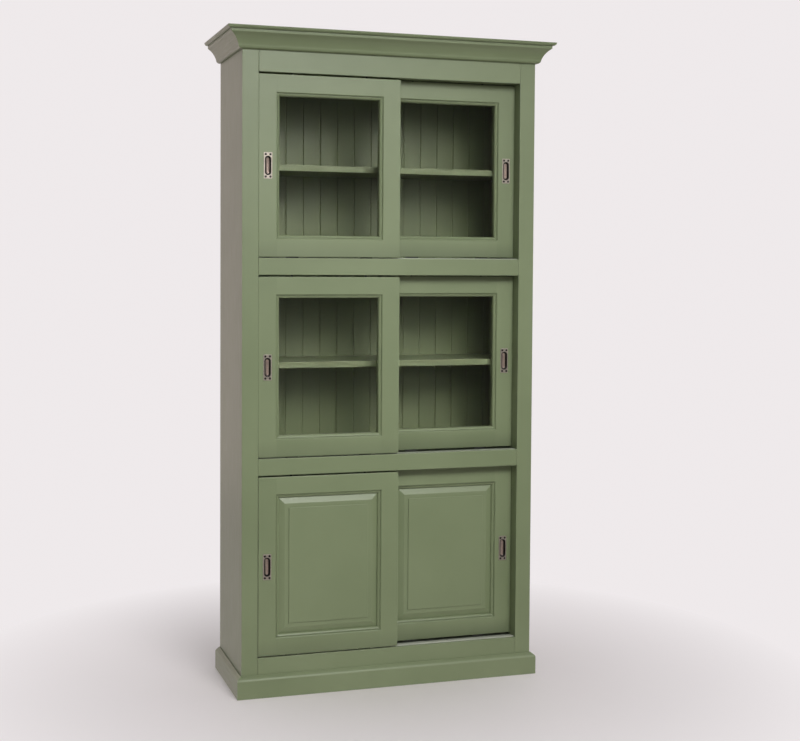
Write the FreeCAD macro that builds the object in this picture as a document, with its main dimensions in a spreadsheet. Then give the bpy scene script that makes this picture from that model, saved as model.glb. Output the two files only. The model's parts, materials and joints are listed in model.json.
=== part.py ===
import FreeCAD, Part
import math
import os
import Sketcher

# A tall painted cupboard with three tiers. Each tier has two by-pass sliding doors: the left door
# runs in the front track and the right door in the rear one. The upper two tiers are glazed and
# the lowest has raised panels. The origin is on the floor, under the middle of the whole outline:
# +X to the right, +Y to the back, +Z up, so the doors face -Y.

# Driving sizes in millimetres: name, value, what it measures
SIZES = (
    ("carcass_width", 982, "outside faces of the two side panels"),
    ("carcass_depth", 360, "front of the face frame to the back"),
    ("side_thickness", 20, "side panels"),
    ("deck_thickness", 18, "top, bottom and the two dividers"),
    ("housing_depth", 8, "how far a deck enters each side panel"),
    ("frame_thickness", 26, "stiles and rails of the face frame"),
    ("stile_width", 52, "face frame stiles"),
    ("sill_height", 124, "floor to the top of the bottom rail"),
    ("tier_height", 579, "clear height of a door opening"),
    ("mid_rail_height", 53, "rail between two tiers"),
    ("top_rail_height", 125, "rail over the upper tier"),
    ("bottom_rail_height", 84, "rail under the lower tier"),
    ("frame_tenon_length", 30, "face frame tenons"),
    ("frame_tenon_thickness", 9, "face frame tenons"),
    ("frame_tenon_shoulder", 6, "rail edge to tenon, above and below"),
    ("dust_cover_thickness", 8, "board over the carcass"),
    ("lining_margin", 4, "back of a rear door to the back of the linings"),
    ("back_thickness", 12, "tongued back boards"),
    ("back_rebate", 10, "rebate for the back boards in each side panel"),
    ("back_clearance", 1, "outer back board to the wall of its rebate"),
    ("back_lift", 50, "floor to the foot of the back boards"),
    ("board_pitch", 60, "cover width of a back board"),
    ("edge_board_least", 20, "narrowest outer back board"),
    ("board_chamfer", 2.5, "half of the V between two back boards"),
    ("tongue_length", 6, "back board tongue"),
    ("tongue_thickness", 4, "back board tongue"),
    ("tongue_clearance", 0.2, "around the back board tongue"),
    ("plinth_height", 71, "base moulding"),
    ("plinth_top", 3, "flat along the top of the base moulding"),
    ("plinth_bevel_height", 10.5, "bevel along the top of the base moulding"),
    ("plinth_bevel_depth", 13, "bevel along the top of the base moulding"),
    ("cornice_foot_depth", 5, "flat under the cornice"),
    ("cornice_round_depth", 10, "round foot of the cornice"),
    ("cornice_round_height", 11, "round foot of the cornice"),
    ("cornice_round_radius", 11, "round foot of the cornice"),
    ("cornice_cove_depth", 27.6, "hollow of the cornice"),
    ("cornice_cove_height", 36, "hollow of the cornice"),
    ("cornice_cove_radius", 65, "hollow of the cornice"),
    ("cornice_fillet_height", 9, "flat above the cove"),
    ("cornice_step", 1.4, "ledge under the crown"),
    ("cornice_crown_depth", 10, "round top of the cornice"),
    ("cornice_crown_height", 8, "round top of the cornice"),
    ("cornice_crown_radius", 9, "round top of the cornice"),
    ("cornice_band_height", 2, "flat along the top edge"),
    ("shelf_height", 298, "tier floor to the top of its shelf"),
    ("shelf_thickness", 20, "loose shelves"),
    ("shelf_gap", 7, "back of the linings to the shelf"),
    ("shelf_clearance", 1, "shelf to side panel, and to the back"),
    ("peg_radius", 2.5, "shelf pegs"),
    ("peg_depth", 10, "peg inside the side panel"),
    ("peg_reach", 12, "peg under the shelf"),
    ("peg_inset", 40, "shelf edge to peg"),
    ("peg_clearance", 0.1, "peg to the wall of its bore"),
    ("door_thickness", 28, "door stiles and rails"),
    ("door_setback", 2, "face frame to the face of a front door"),
    ("door_gap", 16, "back of a front door to the face of a rear door"),
    ("door_side_clearance", 0.6, "closed door to its stile"),
    ("door_overlap", 50, "closed doors, one behind the other"),
    ("door_bottom_clearance", 4, "sill to door"),
    ("door_top_clearance", 6, "door to the rail above"),
    ("rear_door_lift", 2.5, "rear doors above the front ones"),
    ("door_stile_flat", 59, "plain width of a door stile"),
    ("door_rail_flat", 58, "plain width of a door rail"),
    ("lip_thickness", 8, "lip behind the infill"),
    ("door_tenon_length", 40, "door rail tenons"),
    ("door_tenon_thickness", 9, "door rail tenons"),
    ("door_tenon_haunch", 12, "outer edge of the rail to its tenon"),
    ("tenon_relief", 1, "end of a tenon to the end of its mortise"),
    ("glue_line", 0.1, "door rail to door stile, and around the tenons of a door"),
    ("infill_thickness", 4, "glass, and the edge of a raised panel"),
    ("infill_clearance", 1, "edge of the infill to its rebate"),
    ("panel_margin_clearance", 0.4, "raised panel to its moulding"),
    ("panel_margin_width", 12.6, "raised panel, flat beside the moulding"),
    ("panel_margin_rise", 3.5, "raised panel, edge to margin"),
    ("panel_bevel_width", 20, "raised panel, margin to field"),
    ("panel_bevel_rise", 8, "raised panel, margin to field"),
    ("panel_step", 2, "small step around the field"),
    ("moulding_setback", 3.4, "face of the door to its moulding"),
    ("quirk_width", 2.2, "narrow groove outside the bead"),
    ("quirk_depth", 3.4, "narrow groove outside the bead"),
    ("bead_flat", 1.4, "flat between the groove and the rounded edge"),
    ("bead_depth", 5.4, "rounded edge of the moulding"),
    ("bead_height", 7, "rounded edge of the moulding"),
    ("bead_radius", 7.2, "rounded edge of the moulding"),
    ("track_front_edge", 6, "front edge of a track to its front rib"),
    ("track_rear_edge", 16, "rear rib of a track to its rear edge"),
    ("track_thickness", 2, "floor plate of a track"),
    ("track_clearance", 0.5, "track to the stiles"),
    ("rib_width", 3, "running rib of a track"),
    ("rib_height", 3, "running rib of a track"),
    ("rib_clearance", 0.3, "shoe to rib"),
    ("shoe_length", 40, "nylon shoe under a door"),
    ("shoe_width", 14, "nylon shoe under a door"),
    ("shoe_depth", 12, "shoe inside the door"),
    ("shoe_gap", 0.5, "shoe to the floor plate"),
    ("runner_inset", 110, "edge of a door to the middle of a runner"),
    ("guide_clearance", 0.5, "guide pin to the sides of its groove"),
    ("guide_head_clearance", 3, "guide pin to the roof of its groove"),
    ("guide_pin_radius", 3.5, "nylon pin on top of a door"),
    ("guide_pin_reach", 7, "pin inside the groove"),
    ("guide_pin_depth", 15, "pin inside the door"),
    ("guide_pin_clearance", 0.1, "pin to the wall of its bore"),
    ("pull_side_margin", 3, "cup of a flush pull to the side of its plate"),
    ("pull_plate", 1.5, "plate of a flush pull"),
    ("pull_corner", 2.5, "rounded corners of the plate"),
    ("pull_recess_width", 17, "finger recess"),
    ("pull_recess_height", 57, "finger recess"),
    ("pull_recess_depth", 6.5, "finger recess"),
    ("pull_recess_round", 6, "rounded floor of the recess"),
    ("pull_wall", 2, "wall around the recess"),
    ("pull_clearance", 0.5, "cup to its mortise"),
    ("pull_pin_radius", 2.6, "pins through the plate"),
    ("pull_pin_length", 10, "pin inside the door"),
    ("pull_pin_head", 0.8, "pin proud of the plate"),
    ("pull_pin_clearance", 0.1, "pin to the wall of its bore"),
    ("pull_pin_side", 6.1, "side of the plate to a pin"),
    ("pull_pin_end", 6.3, "end of the plate to a pin"),
    ("pull_pin_gap", 4.2, "end of the cup to a pin"),
    ("rear_pull_lift", 3, "pull of a rear door above its middle"),
)

doc = FreeCAD.newDocument("Cupboard")
sheet = doc.addObject("Spreadsheet::Sheet", "Sizes")
for row, (alias, value, meaning) in enumerate(SIZES, start=1):
    sheet.set("A" + str(row), meaning)
    sheet.set("B" + str(row), str(value))
    sheet.setAlias("B" + str(row), alias)
doc.recompute()


class Size:
    """A length that carries its formula in terms of the sheet beside its present value."""

    def __init__(self, formula, value):
        self.formula = formula
        self.value = value

    def mixed(self, other, sign, value):
        return Size("(" + self.formula + sign + other.formula + ")", value)

    def __add__(self, other):
        other = as_size(other)
        return self.mixed(other, " + ", self.value + other.value)

    def __sub__(self, other):
        other = as_size(other)
        return self.mixed(other, " - ", self.value - other.value)

    def __rsub__(self, other):
        return as_size(other) - self

    def __mul__(self, factor):
        factor = as_size(factor)
        return self.mixed(factor, " * ", self.value * factor.value)

    __rmul__ = __mul__

    def __truediv__(self, divisor):
        divisor = as_size(divisor)
        return self.mixed(divisor, " / ", self.value / divisor.value)

    def __neg__(self):
        return self * -1


class SheetSizes:
    """Gives each cell of the sheet as a Size, by its alias."""

    def __getattr__(self, alias):
        return Size("Sizes." + alias, float(getattr(sheet, alias)))


def as_size(length):
    return length if isinstance(length, Size) else Size(str(length), length)


size = SheetSizes()
nodes = []
SAME_PLACE = 1e-6


# Modelling helpers

def bind(item, prop, length):
    item.setExpression(prop, as_size(length).formula)


def place(item, x, y, z, rotation=None):
    if rotation:
        item.Placement = FreeCAD.Placement(FreeCAD.Vector(), rotation)
    for axis, length in zip("xyz", (x, y, z)):
        bind(item, "Placement.Base." + axis, length)
    return item


def node(item, name):
    item.Label = name
    nodes.append(item)
    return item


def block(name, x, y, z):
    """A box between the low and high ends given for each axis."""
    box = doc.addObject("Part::Box", name)
    for side, (low, high) in zip(("Length", "Width", "Height"), (x, y, z)):
        bind(box, side, as_size(high) - low)
    return place(box, x[0], y[0], z[0])


def rod(name, radius, length, x, y, z, rotation=None):
    """A cylinder from a point, along +Z unless it is turned."""
    cylinder = doc.addObject("Part::Cylinder", name)
    bind(cylinder, "Radius", radius)
    bind(cylinder, "Height", length)
    return place(cylinder, x, y, z, rotation)


def join(name, pieces):
    fused = doc.addObject("Part::MultiFuse", name)
    fused.Shapes = pieces
    fused.Refine = True
    return fused


def cut(name, base, tools):
    result = doc.addObject("Part::Cut", name)
    result.Base = base
    result.Tool = tools[0] if len(tools) == 1 else join(name + "_cutters", tools)
    return result


def group(name, pieces):
    compound = doc.addObject("Part::Compound", name)
    compound.Links = pieces
    return compound


def axes(run, across, up):
    """The turn that takes X, Y and Z to three directions at right angles."""
    return FreeCAD.Rotation(FreeCAD.Vector(*run), FreeCAD.Vector(*across), FreeCAD.Vector(*up), "XYZ")


ALONG_X = axes((1, 0, 0), (0, 1, 0), (0, 0, 1))
UP_TO_RIGHT = axes((0, 0, -1), (0, 1, 0), (1, 0, 0))
UP_TO_LEFT = axes((0, 0, 1), (0, 1, 0), (-1, 0, 0))
UP_TO_BACK = axes((1, 0, 0), (0, 0, -1), (0, 1, 0))
PLAN_ON_YZ = axes((0, 1, 0), (0, 0, 1), (1, 0, 0))


def arc_between(start, end, radius, turn):
    """The short arc from start to end, with turn 1 counter-clockwise and -1 clockwise."""
    chord = end - start
    height = math.sqrt(radius ** 2 - (chord.Length / 2) ** 2)
    left = FreeCAD.Vector(-chord.y, chord.x, 0) / chord.Length
    centre = start + chord / 2 + left * height * turn
    first, last = (start, end) if turn > 0 else (end, start)
    from_angle = math.atan2(first.y - centre.y, first.x - centre.x)
    to_angle = math.atan2(last.y - centre.y, last.x - centre.x)
    circle = Part.Circle(centre, FreeCAD.Vector(0, 0, 1), radius)
    return Part.ArcOfCircle(circle, from_angle, to_angle)


def dimension(sketch, kind, geometry, start, end, length):
    if length.value < 0:
        start, end, length = end, start, -length
    index = sketch.addConstraint(Sketcher.Constraint(kind, geometry, start, geometry, end, length.value))
    bind(sketch, "Constraints[" + str(index) + "]", length)


def section(name, steps, rotation=ALONG_X, rise=0):
    """A closed outline that starts straight above the origin, by rise.

    It goes on in steps of (right, up), or of (right, up, radius, turn) for an arc.
    """
    sketch = doc.addObject("Sketcher::SketchObject", name)
    sketch.Placement = FreeCAD.Placement(FreeCAD.Vector(), rotation)
    rise = as_size(rise)
    first_corner = FreeCAD.Vector(0, rise.value, 0)
    corner = first_corner
    joints = []
    for right, up, *bend in steps:
        right = as_size(right)
        up = as_size(up)
        target = corner + FreeCAD.Vector(right.value, up.value, 0)
        start, end = 1, 2
        if bend:
            radius, turn = bend
            geometry = sketch.addGeometry(arc_between(corner, target, radius.value, turn), False)
            start, end = (1, 2) if turn > 0 else (2, 1)
            index = sketch.addConstraint(Sketcher.Constraint("Radius", geometry, radius.value))
            bind(sketch, "Constraints[" + str(index) + "]", radius)
        else:
            geometry = sketch.addGeometry(Part.LineSegment(corner, target), False)
        if joints:
            sketch.addConstraint(Sketcher.Constraint("Coincident", geometry, start, *joints[-1]))
        if right.value:
            dimension(sketch, "DistanceX", geometry, start, end, right)
        else:
            sketch.addConstraint(Sketcher.Constraint("Vertical", geometry))
        if up.value:
            dimension(sketch, "DistanceY", geometry, start, end, up)
        else:
            sketch.addConstraint(Sketcher.Constraint("Horizontal", geometry))
        corner = target
        joints += [(geometry, start), (geometry, end)]
    closing = sketch.addGeometry(Part.LineSegment(corner, first_corner), False)
    sketch.addConstraint(Sketcher.Constraint("Coincident", closing, 1, *joints[-1]))
    sketch.addConstraint(Sketcher.Constraint("Coincident", closing, 2, *joints[0]))
    if rise.value:
        sketch.addConstraint(Sketcher.Constraint("PointOnObject", *joints[0], -2))
        index = sketch.addConstraint(Sketcher.Constraint("DistanceY", -1, 1, *joints[0], rise.value))
        bind(sketch, "Constraints[" + str(index) + "]", rise)
    else:
        sketch.addConstraint(Sketcher.Constraint("Coincident", *joints[0], -1, 1))
    return sketch


def extrude(name, outline, direction, ahead, behind=0):
    length = doc.addObject("Part::Extrusion", name)
    length.Base = outline
    length.DirMode = "Custom"
    length.Dir = FreeCAD.Vector(*direction)
    length.Solid = True
    bind(length, "LengthFwd", ahead)
    bind(length, "LengthRev", behind)
    return length


def mitred(name, outline, low, high, low_mitre, high_mitre, reach, depth):
    """A moulding along X from low to high at Y = 0.

    A mitre of 1 lengthens that end towards Y = reach, -1 shortens it and 0 leaves it square.
    """
    low = as_size(low)
    high = as_size(high)
    length = extrude(name + "_length", outline, (1, 0, 0), high + reach, reach - low)
    ends = doc.addObject("Part::Wedge", name + "_ends")
    limits = {
        "Xmin": low,
        "Xmax": high,
        "X2min": low - low_mitre * reach,
        "X2max": high + high_mitre * reach,
        "Ymin": 0,
        "Ymax": reach,
        "Zmin": 0,
        "Zmax": depth,
        "Z2min": 0,
        "Z2max": depth,
    }
    for prop, limit in limits.items():
        bind(ends, prop, limit)
    piece = doc.addObject("Part::Common", name)
    piece.Base = length
    piece.Tool = ends
    return piece


# Levels and planes that the pieces share

TIERS = ("lower", "middle", "upper")
TOP_TIER = len(TIERS) - 1
HANDS = ("left", "right")

half_width = size.carcass_width / 2
half_inside = half_width - size.side_thickness
opening = size.carcass_width - 2 * size.stile_width
half_opening = opening / 2

cornice_depth = (size.cornice_foot_depth + size.cornice_round_depth + size.cornice_cove_depth
                 + size.cornice_step + size.cornice_crown_depth)
cornice_height = (size.cornice_round_height + size.cornice_cove_height + size.cornice_fillet_height
                  + size.cornice_crown_height + size.cornice_band_height)

front = (cornice_depth - size.carcass_depth) / 2
back = front + size.carcass_depth
frame_back = front + size.frame_thickness
boards_front = back - size.back_thickness

tier_pitch = size.tier_height + size.mid_rail_height
guide_height = size.mid_rail_height - size.deck_thickness


def tier_floor(tier):
    return size.sill_height + tier * tier_pitch


def tier_head(tier):
    return tier_floor(tier) + size.tier_height


carcass_top = tier_head(TOP_TIER) + size.top_rail_height
overall_top = carcass_top + size.dust_cover_thickness

front_door_line = front + size.door_setback + size.door_thickness / 2
rear_door_line = front_door_line + size.door_thickness + size.door_gap
lining_back = rear_door_line + size.door_thickness / 2 + size.lining_margin
shelf_front = lining_back + size.shelf_gap
track_front = front_door_line - size.track_front_edge
track_back = rear_door_line + size.track_rear_edge
guide_depth = size.guide_pin_reach + size.guide_head_clearance
plinth_thickness = size.plinth_top + size.plinth_bevel_depth


def mirrored(hand, near, far):
    """Low and high X of a span measured outwards from the middle of the cupboard."""
    return (near, far) if hand == "right" else (-far, -near)


# Carcass: sides, decks, linings, back

def peg_seats(tier):
    """Height of the peg axes under a shelf, and their places front to back."""
    height = tier_floor(tier) + size.shelf_height - size.shelf_thickness - size.peg_radius
    rear = boards_front - size.shelf_clearance - size.peg_inset
    return height, (shelf_front + size.peg_inset, rear)


def peg_rod(name, hand, y, z, clearance):
    """A peg, or with a clearance its bore, that starts inside the side panel."""
    inward = UP_TO_LEFT if hand == "right" else UP_TO_RIGHT
    start = half_inside + size.peg_depth
    x = start if hand == "right" else -start
    return rod(name, size.peg_radius + clearance, size.peg_depth + size.peg_reach, x, y, z, inward)


def deck_levels():
    """Underside of each deck, from the bottom panel to the top panel."""
    levels = [tier_floor(tier) - size.deck_thickness for tier in range(len(TIERS))]
    return levels + [tier_head(TOP_TIER) + guide_height]


def side_panel(hand):
    name = "side_panel_" + hand
    panel = block(name + "_board", mirrored(hand, half_inside, half_width), (frame_back, back),
                  (0, carcass_top))
    housed = mirrored(hand, half_inside, half_inside + size.housing_depth)
    rebated = mirrored(hand, half_inside, half_inside + size.back_rebate)
    cutters = [block(name + "_rebate", rebated, (boards_front, back), (0, carcass_top))]
    for level, underside in enumerate(deck_levels()):
        cutters.append(block(name + "_housing_" + str(level), housed, (frame_back, boards_front),
                             (underside, underside + size.deck_thickness)))
    for tier, tier_name in enumerate(TIERS):
        height, places = peg_seats(tier)
        for index, y in enumerate(places):
            bore = name + "_bore_" + tier_name + str(index)
            cutters.append(peg_rod(bore, hand, y, height, size.peg_clearance))
    node(cut(name, panel, cutters), name)


def deck(name, underside, carries_track):
    half_length = half_inside + size.housing_depth
    top = underside + size.deck_thickness
    board = block(name + "_board", (-half_length, half_length), (frame_back, boards_front), (underside, top))
    if carries_track:
        seat = block(name + "_seat", (-half_opening, half_opening), (frame_back, track_back),
                     (top - size.track_thickness, top))
        board = cut(name, board, [seat])
    node(board, name)


def jamb_liners(hand):
    pieces = []
    for tier, tier_name in enumerate(TIERS):
        pieces.append(block("liner_" + hand + "_" + tier_name, mirrored(hand, half_opening, half_inside),
                            (frame_back, lining_back), (tier_floor(tier), tier_head(tier))))
    node(group("jamb_liners_" + hand, pieces), "jamb_liners_" + hand)


def guide_groove(name, middle, tier):
    """The groove over a door, cut upwards from the head of a tier."""
    half_groove = size.guide_pin_radius + size.guide_clearance
    return block(name, (-half_inside, half_inside), (middle - half_groove, middle + half_groove),
                 (tier_head(tier), tier_head(tier) + guide_depth))


def guide_battens():
    pieces = []
    for tier, tier_name in enumerate(TIERS):
        name = "guide_batten_" + tier_name
        batten = block(name + "_blank", (-half_inside, half_inside), (frame_back, lining_back),
                       (tier_head(tier), tier_head(tier) + guide_height))
        pieces.append(cut(name, batten, [guide_groove(name + "_groove", rear_door_line, tier)]))
    node(group("guide_battens", pieces), "guide_battens")


def board_section(name, width, grooved, tongued):
    """A back board in plan, from its back left corner, with the V edges towards the front."""
    cheek = (size.back_thickness - size.tongue_thickness) / 2
    slot_cheek = cheek - size.tongue_clearance
    slot_depth = size.tongue_length + size.tongue_clearance
    chamfer = size.board_chamfer
    steps = [(width, 0)]
    if tongued:
        steps += [(0, -cheek), (size.tongue_length, 0), (0, -size.tongue_thickness),
                  (-size.tongue_length, 0), (0, chamfer - cheek), (-chamfer, -chamfer)]
    else:
        steps += [(0, -size.back_thickness)]
    if grooved:
        steps += [(chamfer * (2 if tongued else 1) - width, 0), (-chamfer, chamfer),
                  (0, slot_cheek - chamfer), (slot_depth, 0),
                  (0, size.tongue_thickness + 2 * size.tongue_clearance), (-slot_depth, 0)]
    else:
        steps += [(chamfer - width, 0)]
    return section(name, steps)


def back_boards():
    half_span = half_inside + size.back_rebate - size.back_clearance
    full_boards = int(2 * (half_span - size.edge_board_least).value / size.board_pitch.value)
    if full_boards % 2 == 0:
        full_boards -= 1
    half_full = full_boards * size.board_pitch / 2
    edge_width = half_span - half_full
    height = carcass_top - size.back_lift
    outlines = (
        ("back_board_left", board_section("left_board_plan", edge_width, False, True), [-half_span]),
        ("back_board", board_section("full_board_plan", size.board_pitch, True, True),
         [index * size.board_pitch - half_full for index in range(full_boards)]),
        ("back_board_right", board_section("right_board_plan", edge_width, True, False), [half_full]),
    )
    boards = []
    for name, outline, lefts in outlines:
        for index, left in enumerate(lefts):
            board = extrude(name + "_" + str(index), outline, (0, 0, 1), height)
            boards.append(place(board, left, back, size.back_lift))
    node(group("back_boards", boards), "back_boards")


def shelf(tier, tier_name):
    half_length = half_inside - size.shelf_clearance
    top = tier_floor(tier) + size.shelf_height
    name = "shelf_" + tier_name
    node(block(name, (-half_length, half_length),
               (shelf_front, boards_front - size.shelf_clearance),
               (top - size.shelf_thickness, top)), name)


def shelf_pegs():
    pegs = []
    for tier, tier_name in enumerate(TIERS):
        height, places = peg_seats(tier)
        for hand in HANDS:
            for index, y in enumerate(places):
                pegs.append(peg_rod("peg_" + tier_name + "_" + hand + str(index), hand, y, height, 0))
    node(group("shelf_pegs", pegs), "shelf_pegs")


# Face frame

tenon_middle = front + size.frame_thickness / 2
tenon_y = (tenon_middle - size.frame_tenon_thickness / 2, tenon_middle + size.frame_tenon_thickness / 2)

# Each rail: name, underside, top, the tier below it and the tier above it
RAILS = [
    ("face_rail_bottom", size.sill_height - size.bottom_rail_height, size.sill_height, None, 0),
    ("face_rail_lower", tier_head(0), tier_floor(1), 0, 1),
    ("face_rail_upper", tier_head(1), tier_floor(TOP_TIER), 1, TOP_TIER),
    ("face_rail_top", tier_head(TOP_TIER), carcass_top, TOP_TIER, None),
]


def tenon_z(underside, top):
    """Tenons stay between the guide groove below and the track above."""
    return (underside + guide_depth + size.frame_tenon_shoulder,
            top - size.track_thickness - size.frame_tenon_shoulder)


def face_stile(hand):
    name = "face_stile_" + hand
    stile = block(name + "_blank", mirrored(hand, half_opening, half_width), (front, frame_back),
                  (0, carcass_top))
    sunk = mirrored(hand, half_opening, half_opening + size.frame_tenon_length + size.tenon_relief)
    mortises = []
    for rail_name, underside, top, below, above in RAILS:
        mortises.append(block(name + "_mortise_" + rail_name, sunk, tenon_y, tenon_z(underside, top)))
    node(cut(name, stile, mortises), name)


def face_rail(name, underside, top, below, above):
    half_tenoned = half_opening + size.frame_tenon_length
    rail = block(name + "_blank", (-half_opening, half_opening), (front, frame_back), (underside, top))
    tenons = block(name + "_tenons", (-half_tenoned, half_tenoned), tenon_y, tenon_z(underside, top))
    cutters = []
    if below is not None:
        cutters.append(guide_groove(name + "_groove", front_door_line, below))
    if above is not None:
        cutters.append(block(name + "_seat", (-half_opening, half_opening),
                             (track_front, frame_back),
                             (top - size.track_thickness, top)))
    node(cut(name, join(name + "_tenoned", [rail, tenons]), cutters), name)


# Base moulding and cornice, mitred at the two front corners

def plinth_section():
    return section("plinth_section", [
        (plinth_thickness, 0),
        (0, size.plinth_height - size.plinth_bevel_height),
        (-size.plinth_bevel_depth, size.plinth_bevel_height),
        (-size.plinth_top, 0),
    ], PLAN_ON_YZ)


def cornice_section():
    return section("cornice_section", [
        (size.cornice_foot_depth, 0),
        (size.cornice_round_depth, size.cornice_round_height, size.cornice_round_radius, 1),
        (size.cornice_cove_depth, size.cornice_cove_height, size.cornice_cove_radius, -1),
        (0, size.cornice_fillet_height),
        (size.cornice_step, 0),
        (size.cornice_crown_depth, size.cornice_crown_height, size.cornice_crown_radius, 1),
        (0, size.cornice_band_height),
        (-cornice_depth, 0),
    ], PLAN_ON_YZ)


def run_round(name, outline, reach, depth, level):
    """Front, left and right lengths of a moulding, with its foot at one level."""
    to_front = axes((-1, 0, 0), (0, -1, 0), (0, 0, 1))
    to_left = axes((0, 1, 0), (-1, 0, 0), (0, 0, 1))
    to_right = axes((0, -1, 0), (1, 0, 0), (0, 0, 1))
    front_piece = mitred(name + "_front", outline, -half_width, half_width, 1, 1, reach, depth)
    node(place(front_piece, 0, front, level, to_front), name + "_front")
    left_piece = mitred(name + "_left", outline, 0, size.carcass_depth, 1, 0, reach, depth)
    node(place(left_piece, -half_width, front, level, to_left), name + "_left")
    right_piece = mitred(name + "_right", outline, -size.carcass_depth, 0, 0, 1, reach, depth)
    node(place(right_piece, half_width, front, level, to_right), name + "_right")


# Bottom tracks: a floor plate with a running rib under each door

def track_section():
    half_rib = size.rib_width / 2
    rib = [(0, size.rib_height), (-size.rib_width, 0), (0, -size.rib_height)]
    return section("track_section", [
        (track_back - track_front, 0),
        (0, size.track_thickness),
        (half_rib - size.track_rear_edge, 0),
        *rib,
        (front_door_line - rear_door_line + size.rib_width, 0),
        *rib,
        (half_rib - size.track_front_edge, 0),
    ], PLAN_ON_YZ)


def door_track(tier, tier_name, outline):
    name = "door_track_" + tier_name
    half_length = half_opening - size.track_clearance
    track = extrude(name, outline, (1, 0, 0), half_length, half_length)
    level = tier_floor(tier) - size.track_thickness
    node(place(track, 0, track_front, level), name)


# Doors, each from its own left, front, bottom corner

door_width = half_opening + size.door_overlap / 2 - size.door_side_clearance
door_height = size.tier_height - size.door_bottom_clearance - size.door_top_clearance
lip_width = size.quirk_width + size.bead_flat + size.bead_depth
rebate_depth = size.door_thickness - size.lip_thickness
infill_front = rebate_depth - size.infill_thickness
tenon_front = (rebate_depth - size.door_tenon_thickness) / 2
tenon_back = tenon_front + size.door_tenon_thickness
door_middle = size.door_thickness / 2
cup_width = size.pull_recess_width + 2 * size.pull_wall
cup_height = size.pull_recess_height + 2 * size.pull_wall
cup_depth = size.pull_recess_depth + size.pull_wall
pull_width = cup_width + 2 * size.pull_side_margin
pull_height = cup_height + 2 * (size.pull_pin_gap + size.pull_pin_end)
runner_places = (size.runner_inset, door_width - size.runner_inset)


def sill_gap(hand):
    """From the sill up to a door; the rear doors, on the right, ride higher."""
    if hand == "left":
        return size.door_bottom_clearance
    return size.door_bottom_clearance + size.rear_door_lift


def head_gap(hand):
    """From a door up to the rail above."""
    if hand == "left":
        return size.door_top_clearance
    return size.door_top_clearance - size.rear_door_lift


def pull_level(hand):
    """Height of the middle of a pull in its door."""
    if hand == "left":
        return door_height / 2
    return door_height / 2 + size.rear_pull_lift


def door_corner(tier, hand):
    """Where the left, front, bottom corner of a closed door is."""
    z = tier_floor(tier) + sill_gap(hand)
    if hand == "left":
        return size.door_side_clearance - half_opening, front_door_line - door_middle, z
    return half_opening - size.door_side_clearance - door_width, rear_door_line - door_middle, z


def from_side(hand, near, far):
    """Low and high X of a span measured from the left or right edge of a door."""
    return (near, far) if hand == "left" else (door_width - far, door_width - near)


def from_end(end, near, far):
    """Low and high Z of a span measured from the bottom or top edge of a door."""
    return (near, far) if end == "bottom" else (door_height - far, door_height - near)


def pull_middle(hand):
    return from_side(hand, size.door_stile_flat / 2, size.door_stile_flat / 2)[0]


def pull_pin_rods(name, hand, clearance):
    """The four pins of a pull, or with a clearance their bores."""
    side = pull_width / 2 - size.pull_pin_side
    end = pull_height / 2 - size.pull_pin_end
    face = size.pull_plate + size.pull_pin_head
    rods = []
    for index, (across, up) in enumerate(((-1, -1), (-1, 1), (1, -1), (1, 1))):
        rods.append(rod(name + str(index), size.pull_pin_radius + clearance, face + size.pull_pin_length,
                        pull_middle(hand) + across * side, -face, pull_level(hand) + up * end,
                        UP_TO_BACK))
    return rods


def door_stile(name, hand, has_pull):
    flat = size.door_stile_flat
    plain = block(name + "_flat", from_side(hand, 0, flat), (0, rebate_depth), (0, door_height))
    lip = block(name + "_lip", from_side(hand, 0, flat + lip_width),
                (rebate_depth, size.door_thickness), (0, door_height))
    sunk = from_side(hand, flat - size.door_tenon_length - size.tenon_relief, flat)
    cutters = []
    for end in ("bottom", "top"):
        cutters.append(block(name + "_mortise_" + end, sunk,
                             (tenon_front - size.glue_line, tenon_back + size.glue_line),
                             from_end(end, size.door_tenon_haunch - size.glue_line,
                                      size.door_rail_flat + size.glue_line)))
    if has_pull:
        half_wide = cup_width / 2 + size.pull_clearance
        half_high = cup_height / 2 + size.pull_clearance
        cutters.append(block(name + "_cup_mortise",
                             (pull_middle(hand) - half_wide, pull_middle(hand) + half_wide),
                             (0, cup_depth + size.pull_clearance),
                             (pull_level(hand) - half_high, pull_level(hand) + half_high)))
        cutters += pull_pin_rods(name + "_pin_bore", hand, size.pull_pin_clearance)
    return cut(name, join(name + "_blank", [plain, lip]), cutters)


def door_rail(name, end):
    flat = size.door_stile_flat
    shoulder = flat + size.glue_line
    inner = shoulder + lip_width
    shoulders = block(name + "_shoulders", (shoulder, door_width - shoulder),
                      (0, rebate_depth - size.glue_line), from_end(end, 0, size.door_rail_flat))
    plain = block(name + "_flat", (inner, door_width - inner), (0, size.door_thickness),
                  from_end(end, 0, size.door_rail_flat))
    lip = block(name + "_lip", (inner, door_width - inner), (rebate_depth, size.door_thickness),
                from_end(end, 0, size.door_rail_flat + lip_width))
    tenons = block(name + "_tenons",
                   (flat - size.door_tenon_length, door_width - flat + size.door_tenon_length),
                   (tenon_front, tenon_back), from_end(end, size.door_tenon_haunch, size.door_rail_flat))
    cutters = []
    for index, x in enumerate(runner_places):
        seat = name + "_seat_" + str(index)
        if end == "bottom":
            cutters.append(block(seat, (x - size.shoe_length / 2, x + size.shoe_length / 2),
                                 (door_middle - size.shoe_width / 2, door_middle + size.shoe_width / 2),
                                 (0, size.shoe_depth)))
        else:
            cutters.append(rod(seat, size.guide_pin_radius + size.guide_pin_clearance,
                               size.guide_pin_depth, x, door_middle, door_height - size.guide_pin_depth))
    return cut(name, join(name + "_blank", [shoulders, plain, lip, tenons]), cutters)


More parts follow.
